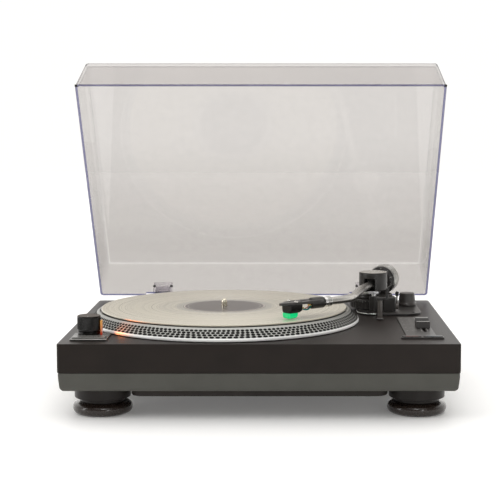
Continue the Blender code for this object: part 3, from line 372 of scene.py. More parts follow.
def make_looks():
    black = (0.0125, 0.0108, 0.0098)
    moulded("deck_paint", (0.0135, 0.0094, 0.0073), 0.40, 1500, 2.5e-5, specular=0.19)
    moulded("case", (0.081, 0.080, 0.070), 0.55, 900, 6e-5, 0.06, specular=0.25)
    moulded("base", (0.031, 0.026, 0.023), 0.6, 700, 5e-5, specular=0.25)
    moulded("foot", (0.0230, 0.0155, 0.0122), 0.26, 600, 3e-6, 0.08, specular=0.40, Coat_Weight=0.45,
            Coat_Roughness=0.10)
    # painted shade: a darker, duller copy of the foot's plastic for its collar
    moulded("foot_collar", (0.0135, 0.0105, 0.0088), 0.36, 600, 3e-6, 0.08, specular=0.22)
    moulded("black", black, 0.36, 1300, 2e-5)
    moulded("gloss_black", shade(black, 0.45), 0.22, 500, 3e-6, specular=0.22, Coat_Weight=0.12,
            Coat_Roughness=0.08)
    moulded("arm_black", (0.0225, 0.0203, 0.0186), 0.34, 1700, 1.5e-5, specular=0.4, Coat_Weight=0.15,
            Coat_Roughness=0.2)
    # painted sheen: a light brown colour with almost no specular for the knob's top face, standing in for
    # its reflection
    moulded("knob_top", (0.105, 0.090, 0.079), 0.5, 900, 8e-6, specular=0.05)
    moulded("bezel", (0.037, 0.035, 0.031), 0.30, 900, 8e-6)
    # painted highlight: light grey for the bezel's front rounded edge
    moulded("bezel_edge", (0.42, 0.41, 0.39), 0.35, 900, 8e-6)
    moulded("key", (0.120, 0.117, 0.108), 0.30, specular=0.7)
    moulded("ring_black", (0.030, 0.027, 0.024), 0.34, 1300)
    moulded("slider_black", (0.024, 0.021, 0.019), 0.34, 1300, 2e-5)
    moulded("key_frame", (0.040, 0.036, 0.033), 0.36)
    moulded("speed_key", (0.040, 0.037, 0.035), 0.36)
    moulded("pitch", (0.040, 0.037, 0.034), 0.36, 1200, 2e-5)
    moulded("rubber", (0.015, 0.015, 0.015), 0.72, 800, 5e-5)
    moulded("print", (0.36, 0.355, 0.34), 0.5, 900, 5e-6)
    moulded("white", (0.80, 0.79, 0.75), 0.4, 900, 5e-6)
    moulded("dot", (0.010, 0.010, 0.009), 0.6, specular=0.08)
    moulded("magnet", (0.045, 0.045, 0.046), 0.5, 1000, 4e-5)
    moulded("casting", (0.42, 0.42, 0.41), 0.48, 1400, 8e-5, Metallic=0.9)
    moulded("zinc", (0.46, 0.46, 0.44), 0.38, 1100, 3e-5, 0.22, 130, Metallic=0.9)
    moulded("post", (0.115, 0.102, 0.092), 0.34, 1200, 1.5e-5)
    moulded("dial_grey", (0.055, 0.049, 0.044), 0.30, 1200, 8e-6, specular=0.6)
    moulded("paper_edge", (0.55, 0.50, 0.46), 0.4)
    # painted shade: an opaque dark violet for the clear lid's rounded front corners
    moulded("cover_edge", (0.050, 0.047, 0.070), 0.4, 900, 5e-6, specular=0.1)
    moulded("jack_white", (0.72, 0.71, 0.68), 0.3, 1100, 3e-5)
    moulded("jack_red", (0.52, 0.03, 0.03), 0.3, 1100, 3e-5)
    moulded("wire_red", (0.70, 0.09, 0.03), 0.45, 500, 3e-5)
    moulded("wire_white", (0.75, 0.76, 0.76), 0.45, 500, 3e-5)
    moulded("wire_blue", (0.06, 0.22, 0.42), 0.45, 500, 3e-5)
    moulded("wire_green", (0.02, 0.30, 0.22), 0.45, 500, 3e-5)
    machined("platter", (0.47, 0.47, 0.45), 0.30, 1400, 0.07)
    # painted highlight: a near-white, barely metallic colour for the platter's bottom rim
    machined("polished_rim", (0.93, 0.93, 0.91), 0.30, 700, 0.02, metal=0.10)
    # painted shade: a darker, partly dull copy of the platter's aluminium for its top rim and sloping side
    machined("strobe_band", (0.34, 0.34, 0.32), 0.36, 1400, 0.07, metal=0.6)
    machined("silver", (0.50, 0.495, 0.475), 0.30, 700, depth=2e-6)
    machined("tube", (0.52, 0.505, 0.475), 0.27, 6000, 0.03, False, (8, 8, 8), depth=2e-7)
    # painted highlight: bright greenish metal for the front-left bevel of the arm base
    machined("base_edge", (0.62, 0.66, 0.62), 0.22, turned=False)
    machined("cap", (0.62, 0.60, 0.56), 0.24, 4500, 0.06, depth=1e-6)
    machined("white_ring", (0.90, 0.89, 0.88), 0.16, 500, 0.02)
    machined("chrome", (0.82, 0.80, 0.74), 0.08, 300, 0.02, anisotropy=0)
    machined("warm_steel", (0.88, 0.81, 0.66), 0.22, 300, 0.02, anisotropy=0)
    machined("steel", (0.52, 0.52, 0.53), 0.26, 800)
    machined("brass", (0.72, 0.52, 0.22), 0.28)
    machined("copper", (0.72, 0.33, 0.15), 0.34, 2200, 0.25, depth=4e-5)
    machined("gold", (0.95, 0.68, 0.28), 0.2, 600)
    # painted shade: the lid is tinted darker towards its hinge and on its far wall
    acrylic("clear", (0.856, 0.845, 0.840), (0.705, 0.691, 0.682), (0.735, 0.717, 0.708))
    acrylic("clear_edge", (0.27, 0.27, 0.45), haze=0.07, gloss=0.05)
    acrylic("clear_block", (0.95, 0.94, 0.96), haze=0.05, gloss=0.03)
    # painted glint: tint and haze for the lid's fillets, so that they read as a light line
    acrylic("clear_fillet", (0.80, 0.79, 0.785), haze=0.04, gloss=0.05)
    lit("red_led", (0.30, 0.07, 0.04), 0.05)
    lit("blue_led", (0.03, 0.10, 0.13), 0.03)
    # painted glow: the green stylus holder gives off light of its own, though no lamp is in it
    lit("green", (0, 0.62, 0.20), 0.34, 0.18)
    vinyl()
    paper()
    felt()
    circuit_board()
    strobe_amber()


# ---------- shapes, in millimetres


def arc(centre, radius, first, last, steps=6):
    """Points (x, y) on an arc, angles in degrees."""
    turns = [radians(first + (last - first) * step / steps) for step in range(steps + 1)]
    return [(centre[0] + radius * cos(turn), centre[1] + radius * sin(turn)) for turn in turns]


def rounded_rect(width, depth, radius, steps=8, centre=(0, 0)):
    points = []
    for corner, (sx, sy) in enumerate(((1, 1), (-1, 1), (-1, -1), (1, -1))):
        middle_of_arc = (centre[0] + sx * (width / 2 - radius), centre[1] + sy * (depth / 2 - radius))
        points += arc(middle_of_arc, radius, 90 * corner, 90 * corner + 90, steps)
    return points


def lathe(profile, steps=96):
    """Turns a (radius, height) profile round an axis; ends off the axis join into a ring."""
    bm = bmesh.new()
    verts = [bm.verts.new((radius, 0, up)) for radius, up in profile]
    pairs = list(zip(verts, verts[1:]))
    if profile[0][0] > 0 or profile[-1][0] > 0:
        pairs.append((verts[-1], verts[0]))
    edges = [bm.edges.new(pair) for pair in pairs]
    bmesh.ops.spin(bm, geom=verts + edges, cent=(0, 0, 0), axis=(0, 0, 1), angle=2 * pi, steps=steps,
        use_merge=True)
    bmesh.ops.remove_doubles(bm, verts=bm.verts[:], dist=1e-4)
    bmesh.ops.recalc_face_normals(bm, faces=bm.faces[:])
    return bm


def rod(radius, low, high, steps=32):
    return lathe([(0, low), (radius, low), (radius, high), (0, high)], steps)


def loft(sections):
    """Joins outlines of equal count and closes the ends; each section is (outline, height)."""
    bm = bmesh.new()
    rings = [[bm.verts.new((x, y, up)) for x, y in outline] for outline, up in sections]
    for low, high in zip(rings, rings[1:]):
        for i, vert in enumerate(low):
            following = (i + 1) % len(low)
            bm.faces.new((vert, low[following], high[following], high[i]))
    bm.faces.new(rings[0])
    bm.faces.new(rings[-1])
    bmesh.ops.recalc_face_normals(bm, faces=bm.faces[:])
    return bm


def prism(outline, low, high):
    return loft([(outline, low), (outline, high)])


def stacked(rows, steps=4):
    """A loft of rounded rectangles; each row is (width, depth, corner radius, middle behind, height)."""
    return loft([(rounded_rect(wide, deep, radius, steps, (0, behind)), up)
                 for wide, deep, radius, behind, up in rows])


def box(low, high):
    bm = bmesh.new()
    bmesh.ops.create_cube(bm, size=1)
    for vert in bm.verts:
        for i in range(3):
            vert.co[i] = low[i] if vert.co[i] < 0 else high[i]
    return bm


def side_prism(outline, low, high):
    """A (behind, above) outline carried across from low to high."""
    bm = prism(outline, low, high)
    bmesh.ops.transform(bm, matrix=Matrix(((0, 0, 1, 0), (1, 0, 0, 0), (0, 1, 0, 0), (0, 0, 0, 1))),
        verts=bm.verts[:])
    bmesh.ops.recalc_face_normals(bm, faces=bm.faces[:])
    return bm


def joined(*parts):
    """One bmesh from several; each may be (bmesh, material index)."""
    whole = bmesh.new()
    for part in parts:
        bm, index = part if isinstance(part, tuple) else (part, 0)
        for face in bm.faces:
            face.material_index = max(face.material_index, index)
        mesh = mesh_of("part", bm)
        whole.from_mesh(mesh)
        bpy.data.meshes.remove(mesh)
    return whole


def moved(bm, place=(0, 0, 0), turn=None):
    matrix = Matrix.Translation(place) @ (turn.to_4x4() if turn else Matrix())
    bmesh.ops.transform(bm, matrix=matrix, verts=bm.verts[:])
    return bm


def turned(angle, axis):
    """A turn about an axis, in degrees."""
    return Matrix.Rotation(radians(angle), 3, axis)


def to_y(bm):
    """Lays a Z-axis shape along Y, with its top towards +Y."""
    return moved(bm, turn=turned(-90, "X"))


def to_x(bm):
    """Lays a Z-axis shape along X, with its top towards +X."""
    return moved(bm, turn=turned(90, "Y"))


def painted(bm, index, test):
    """Gives the faces whose middle and normal pass the test another material."""
    bm.faces.ensure_lookup_table()
    bm.normal_update()
    for face in bm.faces:
        if test(face.calc_center_median(), face.normal):
            face.material_index = index
    return bm


def evaluated(made, *others):
    """A bmesh of the first object with its modifiers; the objects are removed."""
    bpy.context.view_layer.update()
    mesh = bpy.data.meshes.new_from_object(made.evaluated_get(bpy.context.evaluated_depsgraph_get()))
    bm = bmesh.new()
    bm.from_mesh(mesh)
    for old in (made, *others):
        bpy.data.objects.remove(old)
    bpy.data.meshes.remove(mesh)
    return bm


def combined(bm, operation, *tools):
    """The bmesh after a Boolean with each tool; a tool's faces keep their material index."""
    target, *others = [linked("tool", mesh_of("tool", shape)) for shape in (bm, *tools)]
    for other in others:
        modifier = target.modifiers.new("combine", "BOOLEAN")
        modifier.operation = operation
        modifier.object = other
    return evaluated(target, *others)


def cut(bm, *tools):
    return combined(bm, "DIFFERENCE", *tools)


def piece(name, bm, node, looks, place=Vector(), turn=None, bevel=0, smooth=38, rides=None):
    """Adds a shape as a visible piece that stands for a CAD node, or for none and rides with a body."""
    bmesh.ops.scale(bm, vec=(MM, MM, MM), verts=bm.verts[:])
    mesh = mesh_of(name, bm)
    mesh.shade_smooth()
    mesh.set_sharp_from_angle(angle=radians(smooth))
    for look in looks.split():
        mesh.materials.append(LOOKS[look])
    made = linked(name, mesh)
    made.matrix_world = Matrix.Translation(place) @ (turn.to_4x4() if turn else Matrix())
    if bevel:
        modifier = made.modifiers.new("edges", "BEVEL")
        modifier.width = bevel * MM
        modifier.segments = 2
        modifier.limit_method = "ANGLE"
        modifier.angle_limit = radians(35)
    made.modifiers.new("flat_faces", "WEIGHTED_NORMAL").keep_sharp = True
    stands_for(made, node, rides)


def stands_for(made, node, rides):
    """Rides the piece on its node's body, or on the one given, and hides the node."""
    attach(made, rides or next(body for body, members in BODIES.items() if node in members))
    if node:
        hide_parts(node)


def piece_of_curve(name, points, radius, node, look, rides=None, resolution=6):
    """A round wire or tube through points in metres."""
    curve = bpy.data.curves.new(name, "CURVE")
    curve.dimensions = "3D"
    spline = curve.splines.new("POLY")
    spline.points.add(len(points) - 1)
    for target, point in zip(spline.points, points):
        target.co = (*point, 1)
    curve.bevel_depth = radius * MM
    curve.bevel_resolution = resolution
    curve.use_fill_caps = True
    curve.materials.append(LOOKS[look])
    stands_for(linked(name, curve), node, rides)


def smooth_path(points, steps=8):
    """A Catmull-Rom curve through the points."""
    ends = [points[0] * 2 - points[1]] + list(points) + [points[-1] * 2 - points[-2]]
    path = []
    for a, b, c, d in zip(ends, ends[1:], ends[2:], ends[3:]):
        for step in range(steps):
            t = step / steps
            path.append(0.5 * (2 * b + (c - a) * t + (2 * a - 5 * b + 4 * c - d) * t * t
                               + (3 * b - a - 3 * c + d) * t ** 3))
    path.append(points[-1])
    return path


def numeral(text, size):
    """A flat number in the XY plane, middle on the origin."""
    curve = bpy.data.curves.new("numeral", "FONT")
    curve.body = text
    curve.size = size
    curve.extrude = 0.06
    curve.align_x = "CENTER"
    curve.align_y = "CENTER"
    curve.resolution_u = 3
    bm = evaluated(linked("numeral", curve))
    bmesh.ops.remove_doubles(bm, verts=bm.verts[:], dist=1e-4)
    return bm


# ---------- plinth and feet

PLINTH_WIDE, PLINTH_DEEP = 450, 350
UP, BACK = Vector((0, 0, 1)), Vector((0, 1, 0))


def circle(radius, centre=(0, 0), steps=64):
    return arc(centre, radius, 0, 360 - 360 / steps, steps - 1)


def inset(outline, amount):
    """Draws each point in towards the outline's middle by the amount along each axis."""
    across = sum(x for x, _ in outline) / len(outline)
    behind = sum(y for _, y in outline) / len(outline)
    return [(x + (amount if x < across else -amount), y + (amount if y < behind else -amount))
            for x, y in outline]


def softened(outline, low, high, edge, bottom=0):
    """A plate with its top edge rounded over."""
    sections = [(outline, low + bottom)]
    if bottom:
        sections.insert(0, (inset(outline, bottom), low))
    for step in range(4):
        turn = radians(30 * step)
        sections.append((inset(outline, edge * (1 - cos(turn))), high - edge * (1 - sin(turn))))
    return loft(sections)


def plinth_sections(rows):
    """Sections of the plinth's outline; each row is (how far in, height)."""
    return [(rounded_rect(PLINTH_WIDE - 2 * far, PLINTH_DEEP - 2 * far, max(4 - far / 2, 1)), up)
            for far, up in rows]


def make_plinth():
    place = at(0, 175, 0)
    cover = loft(plinth_sections(((1.2, 0), (0.65, -0.12), (0.2, -0.5), (0, -1.1), (0, -32.3), (0.5, -32.8),
        (3, -32.8), (3, -3))))
    cover = cut(cover, prism(circle(50, (-46, -1)), -9, 5), prism(circle(21, (144, 95)), -9, 5),
        box((191, -99, -9), (194.2, 11, 5)), box((-109, 167, -26), (17, 180, -8)))
    piece("deck_cover", cover, "top_cover", "deck_paint", place)

    case = [(2 + 5.5 * (1 - sin(turn)), -54.3 + 5.5 * (1 - cos(turn)))
            for turn in (radians(9 * step) for step in range(11))]
    case += [(1.4, -44), (0.8, -38), (0.8, -33.4), (1.1, -33.1), (3.4, -33.1), (3.4, -28.8), (5.4, -28.8),
        (6.6, -51.3)]
    stems = [prism(circle(5.4, (x, behind - 175)), -60, -46) for x, behind in FEET.values()]
    piece("case_tray", cut(loft(plinth_sections(case)), *stems), "lower_case", "case", place)

    base = stacked([(286, 300, 10, 0, -64.5), (289.5, 303.5, 11, 0, -63.9), (291.4, 305.4, 12, 0, -62.8),
        (292, 306, 12, 0, -61.5), (292, 306, 12, 0, -54.6)], 8)
    ribs = [box((-120 + 20 * rib, -110, -66), (-112 + 20 * rib, 110, -63.7)) for rib in range(13)]
    piece("base_pan", cut(base, *ribs), "base_plate", "base", at(0, 177, 0))
    for x in (-134, 0, 134):
        for behind in (34, 320):
            screw_head(f"base_screw_{x + 134}_{behind}", at(x, behind, -64.5), -UP, 3.2, "zinc")


# Across and behind of each foot
FEET = {"foot_front_left": (-180, 46), "foot_front_right": (180, 46), "foot_rear_left": (-180, 305),
    "foot_rear_right": (180, 305)}


def make_feet():
    profile = [(0, 0), (26.4, 0), (29.4, 0.5), (31.8, 1.8), (33.1, 3.4), (33.8, 5.4), (34, 7.4),
        (33.9, 8.8), (33.3, 10.5), (31.6, 12), (29, 13.2), (26.2, 13.9), (25, 14.5), (25, 18.3),
        (25.4, 18.6), (31, 18.7), (31.7, 19.1), (32, 19.9), (32, 31.2), (31.3, 31.9), (5, 31.9), (5, 42.9),
        (0, 42.9)]
    for name, (x, behind) in FEET.items():
        foot = lathe(profile, 96)
        painted(foot, 1, lambda c, n: c.z < 1)
        # painted shade: the collar is darker and less glossy than the rest of the foot
        painted(foot, 2, lambda c, n: c.z > 13.9)
        piece(f"{name}_screw_foot", foot, name, "foot rubber foot_collar", at(x, behind, -86.5))


def screw_head(name, place, facing, radius, look):
    """A domed cross-head screw that rides with the plinth."""
    head = lathe([(0, -0.6), (radius, -0.6), (radius, 0.1), (radius * 0.8, 0.55), (radius * 0.4, 0.75),
        (0, 0.8)], 28)
    arm = radius * 0.62
    slot = radius * 0.12
    head = cut(head, box((-arm, -slot, 0.1), (arm, slot, 2)), box((-slot, -arm, 0.1), (slot, arm, 2)))
    moved(head, turn=Matrix.Rotation(0.35, 3, "Z"))
    piece(name, head, "", look, place, facing.to_track_quat("Z", "Y").to_matrix(), rides="plinth")


# ---------- platter and record


def strobe_dots():
    """Four rows of dots proud of the platter's sloping side by a hair."""
    bm = bmesh.new()
    top, low = Vector((156.2, 13.2)), Vector((164.9, 4.4))
    slope = (low - top).normalized()
    for along, count in ((0.12, 189), (0.37, 180), (0.62, 166), (0.87, 152)):
        middle_of_row = top.lerp(low, along)
        half = 0.43 * 2 * pi * middle_of_row.x / count
        for dot in range(count):
            turn = 2 * pi * dot / count
            out = Vector((cos(turn), sin(turn), 0))
            side = Vector((-sin(turn), cos(turn), 0))
            down = out * slope.x + Vector((0, 0, slope.y))
            normal = down.cross(side)
            centre = out * middle_of_row.x + Vector((0, 0, middle_of_row.y))
            rings = []
            for lift in (-0.1, 0.07):
                ring = []
                for corner in range(8):
                    angle = pi * (corner + 0.5) / 4
                    spot = side * half * cos(angle) + down * 1.55 * sin(angle)
                    ring.append(bm.verts.new(centre + spot + normal * lift))
                rings.append(ring)
            for i in range(-1, 7):
                bm.faces.new((rings[0][i], rings[0][i + 1], rings[1][i + 1], rings[1][i]))
            bm.faces.new(rings[1])
    bmesh.ops.recalc_face_normals(bm, faces=bm.faces[:])
    return bm


def make_platter():
    centre = at(-46, 174, 0)
    platter = lathe([(3.85, 13.4), (151.4, 13.4), (151.8, 14.6), (152.2, 15), (153.6, 15), (154.4, 14.7),
        (156.2, 13.2), (164.9, 4.4), (165.5, 3.9), (165.9, 2.9), (166, 2.2), (166, 1.2), (165.7, 0.8),
        (160, 2.4), (156, 9.2), (24, 9.2), (12, 8), (12, 4), (3.85, 4)], 256)
    # painted highlight: the faces of the platter's bottom rim get a near-white colour where light catches
    # it
    painted(platter, 1, lambda c, n: c.xy.length > 165 and c.z > 0.9)
    # painted shade: the platter's top rim and sloping side are made darker than the rest of the platter
    painted(platter, 2, lambda c, n: n.z > 0.3 and 151.5 < c.xy.length < 164)
    piece("platter_casting", platter, "platter", "platter polished_rim strobe_band", centre)
    piece("platter_strobe_dots", strobe_dots(), "", "dot", centre, rides="platter")
    mat = lathe([(3.85, 13.7), (148.6, 13.7), (149, 14.1), (149, 15), (148.6, 15.4), (3.85, 15.4)], 160)
    piece("felt_mat", mat, "slipmat", "felt", centre)
    disc = lathe([(3.85, 15.7), (150, 15.7), (150.6, 16), (150.8, 16.7), (150.6, 17.4), (150, 17.7),
        (148.6, 17.68), (147.2, 17.55), (60, 17.55), (59.4, 17.5), (50.9, 17.5), (50.3, 17.4), (50.3, 17),
        (3.85, 17)], 256)
    piece("record_disc", disc, "record", "vinyl", centre, smooth=60)
    label = lathe([(3.85, 17.3), (49.9, 17.3), (50, 17.4), (50, 17.66), (49.85, 17.75), (48.6, 17.75),
        (3.85, 17.72)], 128)
    painted(label, 1, lambda c, n: c.xy.length > 49)
    piece("label_disc", label, "record_label", "paper paper_edge", centre)
    post = lathe([(0, -27), (2.2, -26.2), (3.55, -25), (3.55, 22.4), (3.45, 23.6), (3.1, 24.9), (2.5, 25.9),
        (1.6, 26.6), (0.8, 26.85), (0, 26.9)], 48)
    piece("centre_spindle", post, "spindle", "warm_steel", centre)


# ---------- controls on the left and right


def fluted(radius, depth, flutes, sections, steps=4):
    """A knob whose side is cut with fine upright flutes; sections are (how far in, height, flute share)."""
    made = []
    for inwards, up, share in sections:
        outline = []
        for point in range(flutes * steps):
            turn = 2 * pi * point / (flutes * steps)
            cut_in = depth * share * (0.5 - 0.5 * cos(flutes * turn))
            out = radius - inwards - cut_in
            outline.append((out * cos(turn), out * sin(turn)))
        made.append((outline, up))
    return loft(made)


def make_left_controls():
    bezel = softened(rounded_rect(42, 44.5, 2), 0.3, 2.3, 0.7)
    bezel = cut(bezel, box((-18.9, -20.65, 1.1), (18.9, -3.85, 9)),
        prism(circle(4, (-3.3, 11.25), 32), -4, 9))
    # painted highlight: the bezel's front rounded edge gets a light grey line
    painted(bezel, 1, lambda c, n: c.y < -21 and n.y < -0.2 and n.z > 0.1)
    piece("start_stop_frame", bezel, "start_stop_bezel", "bezel bezel_edge", at(-192.5, 42.25, 0))
    key = joined(softened(rounded_rect(37, 16, 1.4), 2.4, 3.9, 0.5), rod(3, -7, 2.6))
    piece("start_stop_key", key, "start_stop_button", "key", at(-192.5, 30, 0))

    place = at(-195.8, 53.5, 0)
    tower = lathe([(3.4, 2.6), (12.6, 2.6), (12.8, 2.8), (12.8, 6.3), (12.5, 6.6), (11.5, 6.7), (3.4, 6.7)],
        72)
    piece("strobe_housing", tower, "strobe_tower", "gloss_black", place)
    window = softened(rounded_rect(1.7, 10, 0.7, centre=(14.55, -2)), 2.6, 19, 0.4)
    piece("strobe_window", window, "strobe_lens", "orange", place)
    knob = fluted(13.4, 0.35, 60, [(10.4, 7, 0), (0.6, 7, 0), (0, 7.5, 0), (0, 8.6, 0), (0, 8.9, 1),
        (0, 22.2, 1), (0, 22.5, 0), (0, 23.5, 0), (0.25, 24.05, 0), (0.8, 24.35, 0), (1.4, 24.4, 0),
        (2.2, 24.1, 0), (6, 24.05, 0)])
    pointer = box((-0.35, -12.4, 24), (0.35, -6.2, 24.22))
    # painted sheen: the knob's top face is lighter than its sides
    painted(knob, 2, lambda c, n: c.z > 23.9 and n.z > 0.5)
    piece("power_dial", joined(knob, rod(3, -8, 7.2), (pointer, 1)), "power_knob",
        "gloss_black print knob_top", place, smooth=25)


def make_right_controls():
    place = at(185.25, 117.5, 0)
    slab = cut(softened(rounded_rect(34.5, 145, 2), 0.3, 1.4, 0.4), box((5.75, -41.5, -4), (8.95, 68.5, 5)))
    piece("pitch_panel", slab, "pitch_plate", "pitch", place)
    marks = []
    for mark in range(-8, 9):
        wide = 9 if mark == 0 else 6.5 if mark % 4 == 0 else 4
        marks.append(box((-1.5 - wide, 13.5 + 5.8 * mark - 0.3, 1.38),
            (-1.5, 13.5 + 5.8 * mark + 0.3, 1.46)))
    for side in (4, 10.7):
        marks.append(box((side - 0.15, -41.5, 1.38), (side + 0.15, 68.5, 1.45)))
    for mark, text in ((-8, "8"), (-4, "4"), (0, "0"), (4, "4"), (8, "8")):
        marks.append(moved(numeral(text, 4.6), (-12.8, 13.5 + 5.8 * mark, 1.42)))
    piece("pitch_scale", joined(*marks), "", "print", place, rides="plinth")

    outline = [(12.5, 1.9), (12.4, 3.2), (11, 10.9), (10.4, 11.5), (9.1, 11.5), (8.5, 11.2), (7.9, 10.4)]
    for ridge in range(4):
        behind, up = 7 - 1.3 * ridge, 10 - 0.55 * ridge
        outline += [(behind, up), (behind - 0.3, up - 0.45), (behind - 0.7, up - 0.6),
            (behind - 1, up - 0.35)]
    outline += [(1.2, 7.9), (-2.4, 7.9)]
    for ridge in range(3):
        behind, up = -3.4 - 1.3 * ridge, 8 + 0.35 * ridge
        outline += [(behind, up), (behind - 0.3, up - 0.25), (behind - 0.7, up - 0.2),
            (behind - 1, up + 0.2)]
    outline += [(-7.9, 9.3), (-9.6, 9.4), (-10.4, 9), (-12.4, 3.2), (-12.5, 1.9)]
    cap = side_prism(outline, -7.9, 7.9)
    front_line = side_prism([(8.05, 10.8), (8.55, 11.62), (10.5, 11.62), (10.5, 11.4), (8.9, 11.4),
        (8.4, 10.8)], -7.5, 7.5)
    back_line = side_prism([(-9.7, 9.3), (-8, 9.25), (-8, 9.37), (-9.7, 9.46)], -7.5, 7.5)
    stem = box((-1.1, -3, -6), (1.1, 3, 3))
    slider_behind = (sum(corner.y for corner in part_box("pitch_slider")) / 2 - FRONT_Y) / MM
    piece("pitch_fader", joined(cap, stem, (front_line, 1), (back_line, 2)), "pitch_slider",
        "slider_black print white", at(192.6, slider_behind, 0), smooth=25)

    place = at(185.5, 38.25, 0)
    frame_of_keys = softened(rounded_rect(49, 9.5, 1.5), 0.3, 1.8, 0.4)
    windows = [box((x - 11.05, -3.85, 0.9), (x + 11.05, 3.85, 9)) for x in (-12.25, 12.25)]
    piece("speed_key_frame", cut(frame_of_keys, *windows), "speed_key_bezel", "key_frame", place)
    for name, x, lamp in (("speed_key_33", 173.25, "red_led"), ("speed_key_45", 197.75, "blue_led")):
        key = joined(softened(rounded_rect(21.3, 6.9, 0.9), 2, 3, 0.35), rod(1.6, -7, 2.2, 24),
            (softened(rounded_rect(15, 1.4, 0.5, centre=(0, -2.2)), 2.6, 3.05, 0.1), 1))
        piece(f"{name}_cap", key, name, f"speed_key {lamp}", at(x, 38.25, 0))


# ---------- tonearm base


def make_arm_base():
    place = at(144, 270, 0)
    outline = rounded_rect(81.5, 106, 22, 12, (17.75, -10))
    base = cut(softened(outline, 0.3, 2.9, 0.8), prism(circle(21, steps=72), -4, 9),
        prism(circle(3.4, (45.5, 13), 24), -4, 9))
    # painted highlight: only the front-left bevel of the arm base, where light catches it, gets the bright
    # metal
    painted(base, 1, lambda c, n: 0.1 < n.z < 0.97 and n.x < 0.35 and n.y < 0 and c.x < 8)
    piece("arm_base", base, "arm_base_plate", "arm_black base_edge", place)
    for number, (x, y) in enumerate(((-14, 33), (48, -52), (26, 36), (-14, -52))):
        screw_head(f"arm_base_screw_{number}", place + Vector((x, y, 3)) * MM, UP, 2, "black")

    ring = fluted(30, 0.7, 36, [(10.5, 3.3, 0), (0.5, 3.3, 0), (0, 3.8, 0), (0, 4.6, 1), (0, 10.4, 1),
        (0, 10.9, 0), (0, 14.6, 0), (0.25, 15.2, 0), (0.8, 15.5, 0), (10.5, 15.5, 0)])
    marks = []
    for mark in range(48):
        tick = box((29.93, -0.15, 11.6 if mark % 8 == 0 else 12.7), (30.03, 0.15, 14.2))
        marks.append((moved(tick, turn=turned(7.5 * mark, "Z")), 1))
    ring = cut(ring, prism(circle(19.5, steps=72), 0, 20))
    piece("height_dial", joined(ring, *marks), "height_ring", "ring_black print", place, smooth=25)

    tower = lathe([(4.5, -16), (19, -16), (19, 15.9), (24.6, 15.9), (25, 16.3), (25, 18.9), (24.4, 20.1),
        (23.4, 20.5), (4.5, 20.5)], 96)
    bridge = box((-5.5, -41, 16.4), (24, -12, 20))
    lift = moved(lathe([(0, 3.3), (6, 3.3), (6, 21.4), (5.4, 22), (0, 22)], 48), (-1.5, -37, 0))
    housing = softened(rounded_rect(15.8, 11.6, 1.6, 6, (18.1, -37.6)), 3.3, 20.5, 1.2)
    tower = combined(tower, "UNION", bridge, lift, housing)
    tower = cut(tower, moved(to_x(rod(2.1, -8, 9)), (26, -37, 9)), moved(rod(3.3, 0, 30), (-1.5, -37, 0)))
    piece("arm_column", tower, "arm_tower", "arm_black", place)

    curved = arc((0, 0), 30, 222, 277, 24) + arc((0, 0), 37, 277, 222, 24)
    pad = prism(inset(curved, 1.2), 27.2, 27.38)
    platform = joined(softened(curved, 24.4, 27.4, 0.5), moved(rod(2.9, 4, 24.8), (-1.5, -37, 0)), (pad, 1))
    piece("cue_rest", platform, "cue_platform", "steel rubber", place)

    hub = to_x(lathe([(0, -7), (1.7, -7), (1.7, -1.9), (3.9, -1.9), (4.2, -1.6), (4.2, 1.5), (3.8, 1.8),
        (0, 1.8)], 40))
    grip = lathe([(0, 12.6), (1.7, 12.7), (2.1, 13.2), (2.3, 14.2), (2.3, 17.4), (2, 18.1), (1.4, 18.6),
        (0, 18.8)], 32)
    piece("cue_handle", joined(hub, rod(1, 0, 12.9, 24), (grip, 1)), "cue_lever", "post rubber",
        at(172.2, 233, 9))

    knob = fluted(12, 0.3, 40, [(9, 3.3, 0), (0.3, 3.3, 0), (0, 3.6, 0), (0, 5.6, 0), (0.35, 6.2, 0),
        (0.8, 7.2, 0), (0.95, 8, 1), (2.1, 17.6, 1), (2.3, 18.4, 0), (2.6, 19.1, 0), (3.2, 19.5, 0),
        (5.5, 19.5, 0)])
    marks = []
    for mark in range(8):
        turn = turned(-135 + 36 * mark, "Z")
        marks.append((moved(box((-0.2, -8.6, 19.45), (0.2, -7.2, 19.53)), turn=turn), 1))
        if mark % 2 == 0:
            marks.append((moved(moved(numeral(str(mark), 2.4), (0, -5.6, 19.5)), turn=turn), 1))
    piece("anti_skate_dial", joined(knob, rod(3, -7, 3.6), *marks), "anti_skate_knob", "dial_grey print",
        at(189.5, 283, 0), smooth=25)


def make_arm_rest():
    place = at(146.6, 177.5, 0)
    post = lathe([(0, 0.3), (4.3, 0.3), (4.4, 0.5), (4.4, 1), (4, 1.4), (3.2, 1.8), (2.9, 2.4), (2.9, 26.6),
        (0, 26.6)], 48)
    saddle = softened(rounded_rect(14.2, 7, 1.2, centre=(2.5, 0)), 24.6, 27.6, 0.6, 0.4)
    prong = softened(rounded_rect(2.8, 2.3, 0.5, centre=(8.2, -2.35)), 25.6, 39.4, 0.5)
    pin = moved(to_y(rod(1.1, -9, 9, 24)), (8, 0, 37.8))
    rest = painted(cut(combined(post, "UNION", saddle, prong), pin), 1, lambda c, n: 2 < c.z < 24.5)
    piece("arm_rest", rest, "arm_rest_post", "black post", place)

    bow = (-7.5, -4.6)
    hook = arc(bow, 5.8, 182, 62, 16) + [(1.9, -1), (1.9, 1.9), (-1, 3.1)] + arc(bow, 7.3, 62, 182, 16)
    band = moved(prism(hook, -3.2, 0.8), turn=turned(90, "X"))
    clip = joined(band, to_y(rod(0.8, -3.4, 1, 20)))
    turn = turned(125, "Y")
    piece("arm_rest_clip", clip, "arm_clip", "black", at(154.6, 177.5, 37.8), turn)


# ---------- tonearm

PIVOT = (144, 270, 33.2)
ARM_YAW = turned(-19, "Z")
SHELL_ANGLE = 31.34


